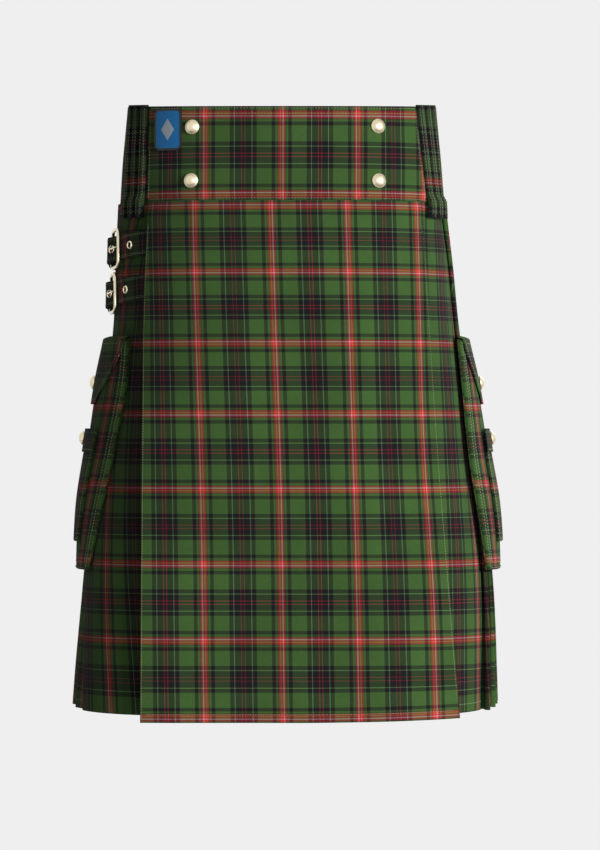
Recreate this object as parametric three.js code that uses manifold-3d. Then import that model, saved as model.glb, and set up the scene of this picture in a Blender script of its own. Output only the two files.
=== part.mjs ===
// A utility kilt, filled out as it is when worn, hollow, and open at the waist and the hem.
// Millimetres, +Z up, the front faces -Y. The origin is the middle of the waist opening, at half the height of
// the waistband. Places on the cloth are given by a height z, a distance along the body's outline from the
// middle of the front (positive to the right of a viewer in front), and an offset out from that outline.
import * as THREE from 'three';
import { mergeVertices } from 'three/addons/utils/BufferGeometryUtils.js';
import Module from 'manifold-3d';

// Driving sizes of the cloth
const bandTop = 46;
const bandBottom = -46;
const bandRows = [bandTop, 15, -15, bandBottom];
const bandColumns = { front: 30, back: 62, under: 27 };
const seamGap = 0.4;
const pleatWall = 1.3;
const apronWall = 1.5;
const bandWall = 2.2;
const pleatCount = 24;
const pleatCloth = 54;
const hemAtSides = -550.5;
const hemSlope = 0.0455;
const apronHem = -564;

// The body's outline at its main heights, as the outer side of the cloth
const bodySections = [
  { z: 46, centre: -2.3, halfWidth: 158.8, halfDepth: 114, frontPower: 2.5, backPower: 2.2 },
  { z: 0, centre: -2.3, halfWidth: 163.6, halfDepth: 118, frontPower: 2.5, backPower: 2.2 },
  { z: -46, centre: -2.2, halfWidth: 166.5, halfDepth: 122, frontPower: 2.5, backPower: 2.2 },
  { z: -110, centre: 0, halfWidth: 171.6, halfDepth: 133, frontPower: 2.5, backPower: 2.2 },
  { z: -171, centre: 2, halfWidth: 175.6, halfDepth: 142, frontPower: 2.6, backPower: 2.2 },
  { z: -300, centre: 3.4, halfWidth: 191, halfDepth: 152, frontPower: 2.9, backPower: 2.3 },
  { z: -422, centre: 4, halfWidth: 207.5, halfDepth: 159, frontPower: 3.2, backPower: 2.4 },
  { z: -565, centre: 1, halfWidth: 214.6, halfDepth: 165, frontPower: 3.4, backPower: 2.5 },
];

// The knife pleats: the distances of the first and the last free fold from the middle of the front, and the
// pitch from one layer of a pleat to the next
const pleatSections = [
  { z: -46.5, firstFold: 203, lastFold: 205, pitch: 2.1 },
  { z: -60, firstFold: 206, lastFold: 210, pitch: 2.1 },
  { z: -110, firstFold: 218, lastFold: 228, pitch: 2.1 },
  { z: -170, firstFold: 226, lastFold: 240, pitch: 2.2 },
  { z: -240, firstFold: 230, lastFold: 245, pitch: 2.5 },
  { z: -320, firstFold: 232, lastFold: 246, pitch: 3 },
  { z: -400, firstFold: 232, lastFold: 243, pitch: 3.5 },
  { z: -480, firstFold: 231, lastFold: 236, pitch: 4 },
  { z: -550, firstFold: 229, lastFold: 228, pitch: 4.5 },
];
const pleatNodes = [
  { name: 'pleats_right', from: 0, to: 6 },
  { name: 'pleats_back_right', from: 7, to: 12 },
  { name: 'pleats_back_left', from: 13, to: 18 },
  { name: 'pleats_left', from: 19, to: 24 },
];
const rightPanelStart = 118;
const underApronEnd = 96;

// The front apron: where its two edges are across the front, its offset, and how flat its free left side hangs
const apronSections = [
  { z: -46.4, left: -135.4, right: 137.8, offset: -1.1, flatness: 0 },
  { z: -52, left: -135.6, right: 138.2, offset: 1.7, flatness: 0.04 },
  { z: -64, left: -136.3, right: 139, offset: 1.9, flatness: 0.12 },
  { z: -90, left: -137.6, right: 140.8, offset: 1.3, flatness: 0.16 },
  { z: -134, left: -139.4, right: 143.4, offset: 1.2, flatness: 0.17 },
  { z: -175, left: -140.4, right: 146, offset: 1.2, flatness: 0.19 },
  { z: -240, left: -140.7, right: 150, offset: 1.2, flatness: 0.26 },
  { z: -320, left: -141, right: 155.4, offset: 1.2, flatness: 0.4 },
  { z: -400, left: -141.3, right: 161.8, offset: 1.2, flatness: 0.54 },
  { z: -480, left: -141.6, right: 168, offset: 1.2, flatness: 0.68 },
  { z: apronHem, left: -141.9, right: 174.5, offset: 1.2, flatness: 0.8 },
];
const apronColumns = 21;
const apronHemRise = 3.3;
const underApronSink = -3.3;
const underApronFlat = -100;
const underFoldGap = 0.2;

// The waistband's top edge rises from the front to the back
const rim = { z: 52.8, slope: 0.045 };

// The waistband's ends across the front, at its top and bottom
const frontBand = { topLeft: -135, topRight: 132.2, bottomLeft: -137.4, bottomRight: 143.1 };
const backBandEnd = 108;
const underBandEnd = 104;
const backBandOuter = -2.3;

// The pintucked belt loops: three ribs side by side on a thin base
const rib = { width: 9.5, valley: 4, slope: 0.8, low: 1, high: 3.3, count: 3 };
const loopStart = { right: 1.2, left: 2 };
const loopBottom = -62;
const loopLiftTop = -38;
const loopLiftBottom = -45.6;
const loopOnBand = backBandOuter + 0.55;
const loopOnPleats = 1.1;

// The side straps and their buckles, with places along a strap given from the buckle's front post
const strap = { width: 25, wall: 2.2 };
const strapHeights = { strap_upper: -89.5, strap_lower: -134.3 };
const strapTilt = 0.09;
const strapLevelAt = -20;
const postDepth = -57;
const strapRun = [
  { along: -60, up: 2.3 },
  { along: -40, up: 2.3 },
  { along: -20, up: 2.3 },
  { along: 0, up: 2.3 },
  { along: 7, up: 2.6 },
  { along: 11.5, up: 3.8 },
  { along: 24.5, up: 8.3 },
  { along: 28, up: 8.4 },
  { along: 32, up: 8.4 },
  { along: 38, up: 7.6 },
  { along: 46, up: 5.7 },
  { along: 56, up: 5.25 },
  { along: 72, up: 5.2 },
  { along: 90, up: 4.2 },
];
const eyeletPlaces = [
  { along: -20, hole: 2.6 },
  { along: 18, hole: 3 },
  { along: 56, hole: 2.6 },
];
const eyelet = { outer: 4.2, lift: 0.4, height: 0.9 };
const frame = {
  length: 32, halfHeight: 18.75, corner: 6, rod: 1.75, bar: 1.3, postUp: 5.5, barUp: 3.9, bow: 0.6,
};
const postBow = 1.6;
const barStops = [6, 0, -6];
const postStops = [-8, -3, 3, 8];
const chape = { wall: 1.1, radius: 2.2, halfWidth: 12, end: 58, lowUp: 1.7, highUp: 3.2 };
const chapeReturn = { lowFrom: 10, crownAt: 6, crownUp: 5.2, highFrom: 13 };
const chapeSlot = { halfWidth: 3.4, before: 6, after: 4, from: -1, to: 12 };
const prong = { rod: 0.95, sleeveInner: 1.6, sleeveOuter: 2.3, sleeveHalf: 1.4 };
const prongRun = [
  { along: 30, up: 4.3 },
  { along: 25, up: 4.6 },
  { along: 19.6, up: 4.6 },
  { along: 16.4, up: 8.3 },
  { along: 8, up: 9.1 },
  { along: -2.4, up: 9.1 },
];

// The side pockets: how far the middle of each is forward of the side, and how far the faces are filled out
const pocketSections = [
  { z: -181, left: 24, right: -12, fill: 0.8 },
  { z: -228, left: 32, right: -3, fill: 5.8 },
  { z: -290, left: 30, right: 10, fill: 7.6 },
  { z: -345, left: 25, right: 15, fill: 8.8 },
  { z: -415, left: 18, right: 19, fill: 3 },
];
const fillReach = 74;
const pocketRows = 9;
const phonePocketRows = 5;
const pocketColumns = { wide: 11, middle: 9, narrow: 7 };
const pocket = { top: -184, bottom: -415, halfWidth: 70, rest: 1, backWall: 1.4, wall: 1.5, face: 5.2 };
const pocketFlap = { top: -181, wall: 1.5, rest: 6.6 };
const flapOutline = [
  { down: 0, halfWidth: 70.5 },
  { down: 16, halfWidth: 64 },
  { down: 32, halfWidth: 54 },
  { down: 51, halfWidth: 38 },
  { down: 68, halfWidth: 22 },
];
const phonePocket = { top: -277, bottom: -387, halfWidth: 42, rest: 5.9, face: 8.4, wall: 1.3 };
const phoneFlap = { top: -273.5, bottom: -297, halfWidth: 44, rest: 8.9, wall: 1.3 };
const flapStudDown = 46;
const phoneStudHeight = -283;

// Snaps, studs and the patch
const snapPlaces = {
  snap_top_left: { x: -91.2, z: 27.1 },
  snap_top_right: { x: 93.5, z: 28.1 },
  snap_bottom_left: { x: -92.2, z: -26.5 },
  snap_bottom_right: { x: 94.4, z: -26.5 },
};
const snap = { radius: 7.5, height: 5.4, rest: 0.35 };
const stud = { radius: 7, height: 4.6, rest: 0.5 };
const patch = { x: -115.5, z: 25.2, halfWidth: 15.6, halfHeight: 20.8, corner: 6, rest: 0.35, wall: 1.2 };
const domeProfile = [
  [0, 0], [0.95, 0], [1, 0.2], [0.86, 0.62], [0.48, 0.92], [0, 1],
];
const domeSides = 14;
const roundSides = 12;
const rodSides = 8;

// Finishes
const cloth = { color: 0x2f5a2a, roughness: 0.95, metalness: 0 };
const brass = { color: 0xd9c58c, roughness: 0.3, metalness: 1 };
const patchBlue = { color: 0x1f6fae, roughness: 0.8, metalness: 0 };

const ringSteps = 720;
const quarterTurn = Math.PI / 2;

// A smooth curve through the rows of a table, read at a height
function smooth(table, key, z) {
  const rows = [...table].sort((a, b) => b.z - a.z);
  const last = rows.length - 1;
  if (z >= rows[0].z) return rows[0][key];
  if (z <= rows[last].z) return rows[last][key];
  let i = 0;
  while (rows[i + 1].z > z) i += 1;
  const slope = (k) => {
    const a = rows[Math.max(k - 1, 0)];
    const b = rows[Math.min(k + 1, last)];
    return (b[key] - a[key]) / (b.z - a.z);
  };
  const span = rows[i + 1].z - rows[i].z;
  const t = (z - rows[i].z) / span;
  const t2 = t * t;
  const t3 = t2 * t;
  const ends = (2 * t3 - 3 * t2 + 1) * rows[i][key] + (3 * t2 - 2 * t3) * rows[i + 1][key];
  return ends + ((t3 - 2 * t2 + t) * slope(i) + (t3 - t2) * slope(i + 1)) * span;
}

// The body's outline at one height, walked by distance from the middle of the front
class Ring {
  constructor(z) {
    this.centre = smooth(bodySections, 'centre', z);
    this.halfWidth = smooth(bodySections, 'halfWidth', z);
    this.halfDepth = smooth(bodySections, 'halfDepth', z);
    this.frontPower = smooth(bodySections, 'frontPower', z);
    this.backPower = smooth(bodySections, 'backPower', z);
    this.points = [];
    this.lengths = [0];
    for (let i = 0; i <= ringSteps; i += 1) {
      const turn = (i / ringSteps) * 4 * quarterTurn - quarterTurn;
      const [c, s] = [Math.cos(turn), Math.sin(turn)];
      const power = s < 0 ? this.frontPower : this.backPower;
      const across = Math.abs(c / this.halfWidth) ** power + Math.abs(s / this.halfDepth) ** power;
      const reach = across ** (-1 / power);
      this.points.push(new THREE.Vector2(c * reach, s * reach));
      if (i > 0) this.lengths.push(this.lengths[i - 1] + this.points[i].distanceTo(this.points[i - 1]));
    }
    this.length = this.lengths[ringSteps];
  }

  // The point at a distance along the outline, moved out by an offset
  at(distance, offset) {
    const s = ((distance % this.length) + this.length) % this.length;
    let low = 0;
    let high = ringSteps;
    while (high - low > 1) {
      const middle = (low + high) >> 1;
      if (this.lengths[middle] <= s) low = middle;
      else high = middle;
    }
    const share = (s - this.lengths[low]) / (this.lengths[high] - this.lengths[low]);
    const p = this.points[low].clone().lerp(this.points[high], share);
    const power = p.y < 0 ? this.frontPower : this.backPower;
    const lean = (v, half) => Math.sign(v) * Math.abs(v / half) ** (power - 1) / half;
    const out = new THREE.Vector2(lean(p.x, this.halfWidth), lean(p.y, this.halfDepth)).normalize();
    return p.addScaledVector(out, offset).add(new THREE.Vector2(this.centre, 0));
  }

  // The distance at which the front half reaches x, seen from the front
  frontDistance(x, offset = 0) {
    let low = -this.length / 4;
    let high = this.length / 4;
    for (let i = 0; i < 40; i += 1) {
      const middle = (low + high) / 2;
      if (this.at(middle, offset).x < x) low = middle;
      else high = middle;
    }
    return (low + high) / 2;
  }

  // The distance at which one side reaches y, seen from that side: side is 1 for the right and -1 for the left
  sideDistance(y, side) {
    let low = 0;
    let high = this.length / 2;
    for (let i = 0; i < 40; i += 1) {
      const middle = (low + high) / 2;
      if (this.at(side * middle, 0).y < y) low = middle;
      else high = middle;
    }
    return (side * (low + high)) / 2;
  }
}

const rings = new Map();
function ringAt(z) {
  if (!rings.has(z)) rings.set(z, new Ring(z));
  return rings.get(z);
}

// A point of the cloth
function place(z, distance, offset) {
  const p = ringAt(z).at(distance, offset);
  return new THREE.Vector3(p.x, p.y, z);
}

// The direction straight out of the cloth at a point
function outward(z, distance) {
  const along = place(z, distance + 1, 0).sub(place(z, distance - 1, 0));
  const up = place(z + 1, distance, 0).sub(place(z - 1, distance, 0));
  return along.cross(up).normalize();
}

function hemAt(y) {
  return hemAtSides + y * hemSlope;
}

function rimAt(y) {
  return rim.z + y * rim.slope;
}

function mix(a, b, t) {
  return a + (b - a) * t;
}

function steps(count, from, to) {
  return Array.from({ length: count }, (_, i) => mix(from, to, i / (count - 1)));
}

// Merges the shared points of a geometry, drops empty faces and turns the faces out
function closed(geometry) {
  const bare = geometry.index ? geometry : geometry.clone();
  bare.deleteAttribute('normal');
  bare.deleteAttribute('uv');
  const merged = mergeVertices(bare, 1e-4);
  const points = merged.getAttribute('position');
  const corners = [...merged.index.array];
  const faces = [];
  let volume = 0;
  for (let i = 0; i < corners.length; i += 3) {
    const [a, b, c] = corners.slice(i, i + 3);
    if (a === b || b === c || c === a) continue;
    faces.push(a, b, c);
    const [p, q, r] = [a, b, c].map((k) => new THREE.Vector3().fromBufferAttribute(points, k));
    volume += p.dot(q.cross(r));
  }
  if (volume < 0) faces.reverse();
  merged.setIndex(faces);
  merged.computeVertexNormals();
  return merged;
}

function fromPoints(points, faces) {
  const geometry = new THREE.BufferGeometry();
  geometry.setAttribute('position', new THREE.Float32BufferAttribute(points.flatMap((p) => p.toArray()), 3));
  geometry.setIndex(faces);
  return geometry;
}

// A wall between a grid of outer points and a grid of inner points, closed along its four edges
function wall(outer, inner) {
  const rows = outer.length;
  const columns = outer[0].length;
  const under = rows * columns;
  const points = [...outer.flat(), ...inner.flat()];
  const faces = [];
  const quad = (a, b, c, d) => faces.push(a, b, c, a, c, d);
  for (let i = 0; i < rows - 1; i += 1) {
    for (let j = 0; j < columns - 1; j += 1) {
      const a = i * columns + j;
      quad(a, a + 1, a + columns + 1, a + columns);
      quad(under + a, under + a + columns, under + a + columns + 1, under + a + 1);
    }
  }
  for (let j = 0; j < columns - 1; j += 1) {
    const b = (rows - 1) * columns + j;
    quad(j, under + j, under + j + 1, j + 1);
    quad(b, b + 1, under + b + 1, under + b);
  }
  for (let i = 0; i < rows - 1; i += 1) {
    const a = i * columns;
    const b = a + columns - 1;
    quad(a, a + columns, under + a + columns, under + a);
    quad(b, under + b, under + b + columns, b + columns);
  }
  return closed(fromPoints(points, faces));
}

// The two sides of a wall whose middle follows a line of { along, up } points, mitred at its corners
function sidesOf(line, thickness) {
  const half = thickness / 2;
  const normals = line.slice(1).map((p, i) => {
    const [run, rise] = [p.along - line[i].along, p.up - line[i].up];
    const length = Math.hypot(run, rise);
    return [-rise / length, run / length];
  });
  const side = (sign) => line.map((p, i) => {
    const a = normals[Math.max(i - 1, 0)];
    const b = normals[Math.min(i, normals.length - 1)];
    const share = (sign * half) / (1 + a[0] * b[0] + a[1] * b[1]);
    return { along: p.along + (a[0] + b[0]) * share, up: p.up + (a[1] + b[1]) * share };
  });
  return [side(1), side(-1)];
}

// A sheet of cloth from a line across it at each height, with the rules of its top and bottom edges
function sheet(heights, lineAt, thickness, { top = null, hem = null } = {}) {
  const grids = [[], []];
  heights.forEach((z, i) => {
    sidesOf(lineAt(z), thickness).forEach((side, k) => {
      grids[k].push(side.map((p) => {
        const point = place(z, p.along, p.up);
        if (top && i === 0) point.z = top(point.y);
        if (hem && i === heights.length - 1) point.z = hem(point.y);
        return point;
      }));
    });
  });
  return wall(grids[0], grids[1]);
}

// A pad with raised middle and sides that come down to its rest, open underneath, over a span of the cloth
function tray(sizes, centreAt, restAt, rows, across) {
  const { top, bottom, halfWidth, face, wall: thickness } = sizes;
  const grid = (inset, up) => {
    const heights = [top - inset, ...steps(rows, top - inset, bottom + inset), bottom + inset];
    return heights.map((z, i) => {
      const half = halfWidth - inset;
      const columns = [-half, ...steps(across, -half, half), half];
      const edgeRow = i === 0 || i === heights.length - 1;
      return columns.map((along, j) => {
        const edge = edgeRow || j === 0 || j === columns.length - 1;
        return place(z, centreAt(z) + along, edge ? restAt(z, along) : up + fillAt(z, along));
      });
    });
  };
  return wall(grid(0, face), grid(thickness, face - thickness));
}

// A flat piece over the cloth whose half width changes down its length
function panel(outline, top, centreAt, restAt, thickness, columns) {
  const grid = (up) => outline.map((row) => {
    const z = top - row.down;
    return steps(columns, -row.halfWidth, row.halfWidth).map((along) => (
      place(z, centreAt(z) + along, restAt(z, along) + up)));
  });
  return wall(grid(thickness), grid(0));
}

// A rod of changing radius along a line of points, with a section that turns about the up direction
function rod(line, radii, sides, isLoop, toWorld) {
  const count = line.length;
  const points = [];
  const faces = [];
  line.forEach((p, i) => {
    const before = line[isLoop ? (i + count - 1) % count : Math.max(i - 1, 0)];
    const after = line[isLoop ? (i + 1) % count : Math.min(i + 1, count - 1)];
    const ahead = after.clone().sub(before).normalize();
    const across = ahead.clone().cross(new THREE.Vector3(0, 0, 1));
    if (across.length() < 0.1) across.set(0, 1, 0);
    across.normalize();
    const up = across.clone().cross(ahead);
    for (let k = 0; k < sides; k += 1) {
      const turn = (k / sides) * 4 * quarterTurn;
      const out = across.clone().multiplyScalar(Math.cos(turn)).addScaledVector(up, Math.sin(turn));
      points.push(toWorld(p.clone().addScaledVector(out, radii[i])));
    }
  });
  const rowsToJoin = isLoop ? count : count - 1;
  for (let i = 0; i < rowsToJoin; i += 1) {
    for (let k = 0; k < sides; k += 1) {
      const a = i * sides + k;
      const b = i * sides + ((k + 1) % sides);
      const [c, d] = [a, b].map((v) => (v + sides) % (count * sides));
      faces.push(a, b, d, a, d, c);
    }
  }
  if (!isLoop) {
    const last = (count - 1) * sides;
    for (let k = 1; k < sides - 1; k += 1) {
      faces.push(0, k + 1, k);
      faces.push(last, last + k, last + k + 1);
    }
  }
  return closed(fromPoints(points, faces));
}

// Joins and cuts of closed pieces
const wasm = await Module();
wasm.setup();

function toSolid(geometry) {
  const vertProperties = new Float32Array(geometry.getAttribute('position').array);
  const triVerts = new Uint32Array(geometry.index.array);
  return new wasm.Manifold(new wasm.Mesh({ numProp: 3, vertProperties, triVerts }));
}

function fromSolid(solid) {
  const mesh = solid.getMesh();
  const geometry = new THREE.BufferGeometry();
  geometry.setAttribute('position', new THREE.Float32BufferAttribute(mesh.vertProperties, 3));
  geometry.setIndex([...mesh.triVerts]);
  return closed(geometry);
}

function cut(geometry, tools) {
  return fromSolid(tools.reduce((solid, tool) => solid.subtract(toSolid(tool)), toSolid(geometry)));
}

const kilt = new THREE.Group();

function add(name, geometry, finish) {
  const mesh = new THREE.Mesh(geometry, new THREE.MeshStandardMaterial(finish));
  mesh.name = name;
  kilt.add(mesh);
}

// The centre line of the knife pleats at one height: each face slopes in under the next pleat, turns back, and
// comes out again at the next free fold
const pleatHeights = pleatSections.map((row) => row.z);

function pleatSizes(z) {
  const first = smooth(pleatSections, 'firstFold', z);
  const last = ringAt(z).length - smooth(pleatSections, 'lastFold', z);
  const width = (last - first) / pleatCount;
  return { first, width, under: (pleatCloth - width) / 2, pitch: smooth(pleatSections, 'pitch', z) };
}

function pleatLine(z, from, to) {
  const { first, width, under, pitch } = pleatSizes(z);
  const slope = (2 * pitch) / width;
  const sink = -pleatWall / 2;
  const line = [];
  for (let k = from; k <= to; k += 1) {
    const fold = first + (k - 1) * width;
    const next = fold + width;
    if (k === 0) {
      const start = ringAt(z).frontDistance(rightPanelStart);
      steps(4, 0, 1).slice(0, 3).forEach((t) => {
        line.push({ along: mix(start, next, t), up: mix(underApronSink, -2 * pitch, t) + sink });
      });
    } else {
      line.push({ along: fold + under, up: -pitch - slope * under + sink });
      line.push({ along: fold, up: -pitch + sink });
      line.push({ along: fold, up: sink });
      line.push({ along: fold + under, up: -slope * under + sink });
    }
    line.push({ along: next, up: -2 * pitch + sink });
    line.push({ along: next + under, up: -2 * pitch - slope * under + sink });
  }
  return line;
}

// The waistband: a front panel over the two ends of the band behind it
function makeWaistband() {
  const share = (z) => (bandTop - z) / (bandTop - bandBottom);
  const line = (from, to, count, up) => steps(count, from, to).map((along) => ({ along, up }));
  const middle = backBandOuter - bandWall / 2;
  const leftEnd = (z) => ringAt(z).frontDistance(mix(frontBand.topLeft, frontBand.bottomLeft, share(z)));
  const rightEnd = (z) => ringAt(z).frontDistance(mix(frontBand.topRight, frontBand.bottomRight, share(z)));
  const frontWall = -backBandOuter - seamGap;
  const front = (z) => line(leftEnd(z), rightEnd(z), bandColumns.front, -frontWall / 2);
  const back = (z) => (
    line(ringAt(z).frontDistance(backBandEnd), ringAt(z).length + leftEnd(z), bandColumns.back, middle));
  const under = (z) => (
    line(leftEnd(z) + seamGap, ringAt(z).frontDistance(underBandEnd), bandColumns.under, middle));
  add('waistband_front', sheet(bandRows, front, frontWall, { top: rimAt }), cloth);
  add('waistband_back', sheet(bandRows, back, bandWall, { top: rimAt }), cloth);
  add('waistband_under', sheet(bandRows, under, bandWall, { top: rimAt }), cloth);
}

function makeLoops() {
  const profile = [];
  for (let k = 0; k < rib.count; k += 1) {
    const start = k * (rib.width + rib.valley);
    profile.push({ along: start, up: rib.low });
    profile.push({ along: start + rib.slope, up: rib.high });
    profile.push({ along: start + rib.width - rib.slope, up: rib.high });
    profile.push({ along: start + rib.width, up: rib.low });
  }
  const width = rib.count * (rib.width + rib.valley) - rib.valley;
  const rows = [
    ...bandRows.slice(0, -1).map((z) => ({ z, base: loopOnBand })),
    { z: loopLiftTop, base: loopOnBand },
    { z: loopLiftBottom, base: loopOnPleats },
    { z: loopBottom, base: loopOnPleats },
  ];
  const loop = (name, startAt, side) => {
    const grid = (isOuter) => rows.map((row) => profile.map((p) => {
      const point = place(row.z, startAt(row.z) + side * p.along, row.base + (isOuter ? p.up : 0));
      if (row.z === bandTop) point.z = rimAt(point.y);
      return point;
    }));
    add(name, wall(grid(true), grid(false)), cloth);
  };
  const share = (z) => Math.min((bandTop - z) / (bandTop - bandBottom), 1);
  const rightX = (z) => mix(frontBand.topRight, frontBand.bottomRight, share(z)) + loopStart.right;
  const leftX = (z) => mix(frontBand.topLeft, frontBand.bottomLeft, share(z)) - loopStart.left;
  loop('belt_loop_front_right', (z) => ringAt(z).frontDistance(rightX(z)), 1);
  loop('belt_loop_front_left', (z) => ringAt(z).frontDistance(leftX(z)), -1);
  loop('belt_loop_back', (z) => (ringAt(z).length - width) / 2, 1);
}

function makePleats() {
  pleatNodes.forEach(({ name, from, to }) => {
    add(name, sheet(pleatHeights, (z) => pleatLine(z, from, to), pleatWall, { hem: hemAt }), cloth);
  });
}

// The under apron comes out at the last free fold and passes flat behind the front apron
function makeUnderApron() {
  const lineAt = (z) => {
    const { first, width, under, pitch } = pleatSizes(z);
    const slope = (2 * pitch) / width;
    const sink = -pleatWall / 2;
    const fold = first + pleatCount * width - ringAt(z).length;
    const end = ringAt(z).frontDistance(underApronEnd);
    const flat = ringAt(z).frontDistance(underApronFlat);
    const line = [
      { along: fold + under, up: -pitch - slope * under + sink },
      { along: fold, up: -pitch + sink },
      { along: fold, up: sink },
      { along: fold + under, up: sink - underFoldGap },
    ];
    steps(4, fold + under, flat).slice(1).forEach((along, i) => {
      line.push({ along, up: mix(-underFoldGap, underApronSink, (i + 1) / 3) + sink });
    });
    steps(9, flat, end).slice(1).forEach((along) => line.push({ along, up: underApronSink + sink }));
    return line;
  };
  add('under_apron', sheet(pleatHeights, lineAt, pleatWall, { hem: hemAt }), cloth);
}

// The front apron hangs from the band, flatter than the body towards its free left edge
function makeFrontApron() {
  const grids = [[], []];
  apronSections.forEach((row) => {
    const ring = ringAt(row.z);
    const line = steps(apronColumns, row.left, row.right).map((x) => {
      const y = ring.at(ring.frontDistance(x, row.offset), row.offset).y;
      const front = -(ring.halfDepth + row.offset);
      return { along: x, up: -(x < 0 ? mix(y, front, row.flatness) : y) };
    });
    sidesOf(line, apronWall).forEach((side, k) => {
      grids[k].push(side.map((p) => {
        const rise = row.z === apronHem ? apronHemRise * (Math.max(p.along, 0) / row.right) ** 2 : 0;
        return new THREE.Vector3(p.along, -p.up, row.z + rise);
      }));
    });
  });
  add('front_apron', wall(grids[0], grids[1]), cloth);
}

// A side strap with its eyelets, and the buckle that it is fastened in
function makeStrap(name, middle) {
  const post = ringAt(middle).sideDistance(postDepth, -1);
  const toWorld = (p) => place(middle + p.y - strapTilt * (p.x - strapLevelAt), post - p.x, p.z);
  const half = strap.width / 2;
  const sides = sidesOf(strapRun, strap.wall);
  const grids = sides.map((side) => steps(3, half, -half).map((z) => (
    side.map((p) => toWorld(new THREE.Vector3(p.along, z, p.up))))));
  const upAt = (along) => {
    const i = strapRun.findIndex((p) => p.along > along);
    const [a, b] = [strapRun[i - 1], strapRun[i]];
    const slope = (b.up - a.up) / (b.along - a.along);
    return { up: a.up + slope * (along - a.along), slope };
  };
  // Places a lathe shape, whose axis is Y, straight out of the strap at a hole
  const onStrap = (geometry, along) => {
    const { up, slope } = upAt(along);
    const lean = new THREE.Vector3(-slope, 0, 1).normalize();
    const at = toWorld(new THREE.Vector3(along, 0, up));
    const out = toWorld(new THREE.Vector3(along, 0, up).add(lean)).sub(at).normalize();
    geometry.applyQuaternion(new THREE.Quaternion().setFromUnitVectors(new THREE.Vector3(0, 1, 0), out));
    return geometry.translate(at.x, at.y, at.z);
  };
  const holes = eyeletPlaces.map(({ along, hole }) => (
    closed(onStrap(new THREE.CylinderGeometry(hole, hole, 8 * strap.wall, roundSides), along))));
  add(name, cut(wall(grids[0], grids[1]), holes), cloth);
  eyeletPlaces.forEach(({ along, hole }, i) => {
    const low = strap.wall / 2 + eyelet.lift;
    const profile = [
      [hole, low],
      [eyelet.outer, low],
      [mix(hole, eyelet.outer, 0.75), low + eyelet.height],
      [mix(hole, eyelet.outer, 0.25), low + eyelet.height],
      [hole, low],
    ].map(([r, y]) => new THREE.Vector2(r, y));
    add(`${name}_eyelet_${i + 1}`, closed(onStrap(new THREE.LatheGeometry(profile, roundSides), along)), brass);
  });
  makeBuckle(name, toWorld);
}

function makeBuckle(name, toWorld) {
  const corners = [
    { x: 0, y: 1 }, { x: 1, y: 1 }, { x: 1, y: -1 }, { x: 0, y: -1 },
  ];
  const line = [];
  const radii = [];
  const push = (along, z) => {
    const share = along / frame.length;
    const onPost = share < 0.1 ? 1 - (z / frame.halfHeight) ** 2 : 0;
    const isBar = share > 0.99;
    const up = mix(frame.postUp, frame.barUp, Math.min(Math.max(share, 0), 1)) + frame.bow * onPost;
    line.push(new THREE.Vector3(along - postBow * onPost, z, up));
    radii.push(isBar ? frame.bar : frame.rod);
  };
  corners.forEach((corner, i) => {
    const turnStart = quarterTurn * (2 - i);
    steps(4, 0, 1).forEach((t) => {
      const turn = turnStart - t * quarterTurn;
      const centreX = corner.x ? frame.length - frame.corner : frame.corner;
      const centreZ = corner.y * (frame.halfHeight - frame.corner);
      push(centreX + frame.corner * Math.cos(turn), centreZ + frame.corner * Math.sin(turn));
    });
    if (i === 1) barStops.forEach((z) => push(frame.length, z));
    if (i === 3) postStops.forEach((z) => push(0, z));
  });
  add(`${name}_buckle_frame`, rod(line, radii, rodSides, true, toWorld), brass);

  const shaft = prongRun.map((p) => new THREE.Vector3(p.along, 0, p.up));
  const shaftSolid = toSolid(rod(shaft, shaft.map(() => prong.rod), rodSides, false, toWorld));
  const sleeveSteps = 16;
  const sleevePoints = (radius, z) => Array.from({ length: sleeveSteps + 1 }, (_, i) => {
    const turn = (i / sleeveSteps) * 4 * quarterTurn;
    const [c, s] = [Math.cos(turn), Math.sin(turn)];
    return toWorld(new THREE.Vector3(frame.length + radius * c, z, frame.barUp + radius * s));
  });
  const [inner, outer, half] = [prong.sleeveInner, prong.sleeveOuter, prong.sleeveHalf];
  const rows = [[inner, -half], [outer, -half], [outer, half], [inner, half], [inner, -half]];
  const sleeve = sleeveFrom(rows.map(([radius, z]) => sleevePoints(radius, z)));
  add(`${name}_buckle_prong`, fromSolid(toSolid(sleeve).add(shaftSolid)), brass);

  // The chape lies on the cloth, goes round the bar and comes back over itself
  const bend = steps(7, -quarterTurn, -3 * quarterTurn).map((turn) => ({
    along: frame.length + chape.radius * Math.cos(turn),
    up: frame.barUp + chape.radius * Math.sin(turn),
  }));
  const chapeLine = [
    { along: chape.end, up: chape.lowUp },
    { along: frame.length + chapeReturn.lowFrom, up: chape.lowUp },
    ...bend,
    { along: frame.length + chapeReturn.crownAt, up: chapeReturn.crownUp },
    { along: frame.length + chapeReturn.highFrom, up: chape.highUp },
    { along: chape.end, up: chape.highUp },
  ];
  const chapeGrids = sidesOf(chapeLine, chape.wall).map((side) => (
    steps(3, chape.halfWidth, -chape.halfWidth).map((z) => (
      side.map((p) => toWorld(new THREE.Vector3(p.along, z, p.up)))))));
  const slotEnds = [frame.length - chapeSlot.before, frame.length + chapeSlot.after];
  const slotGrid = (up) => [chapeSlot.halfWidth, -chapeSlot.halfWidth].map((z) => (
    slotEnds.map((along) => toWorld(new THREE.Vector3(along, z, up)))));
  const slot = wall(slotGrid(chapeSlot.to), slotGrid(chapeSlot.from));
  add(`${name}_buckle_chape`, cut(wall(chapeGrids[0], chapeGrids[1]), [slot]), cloth);
}

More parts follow.
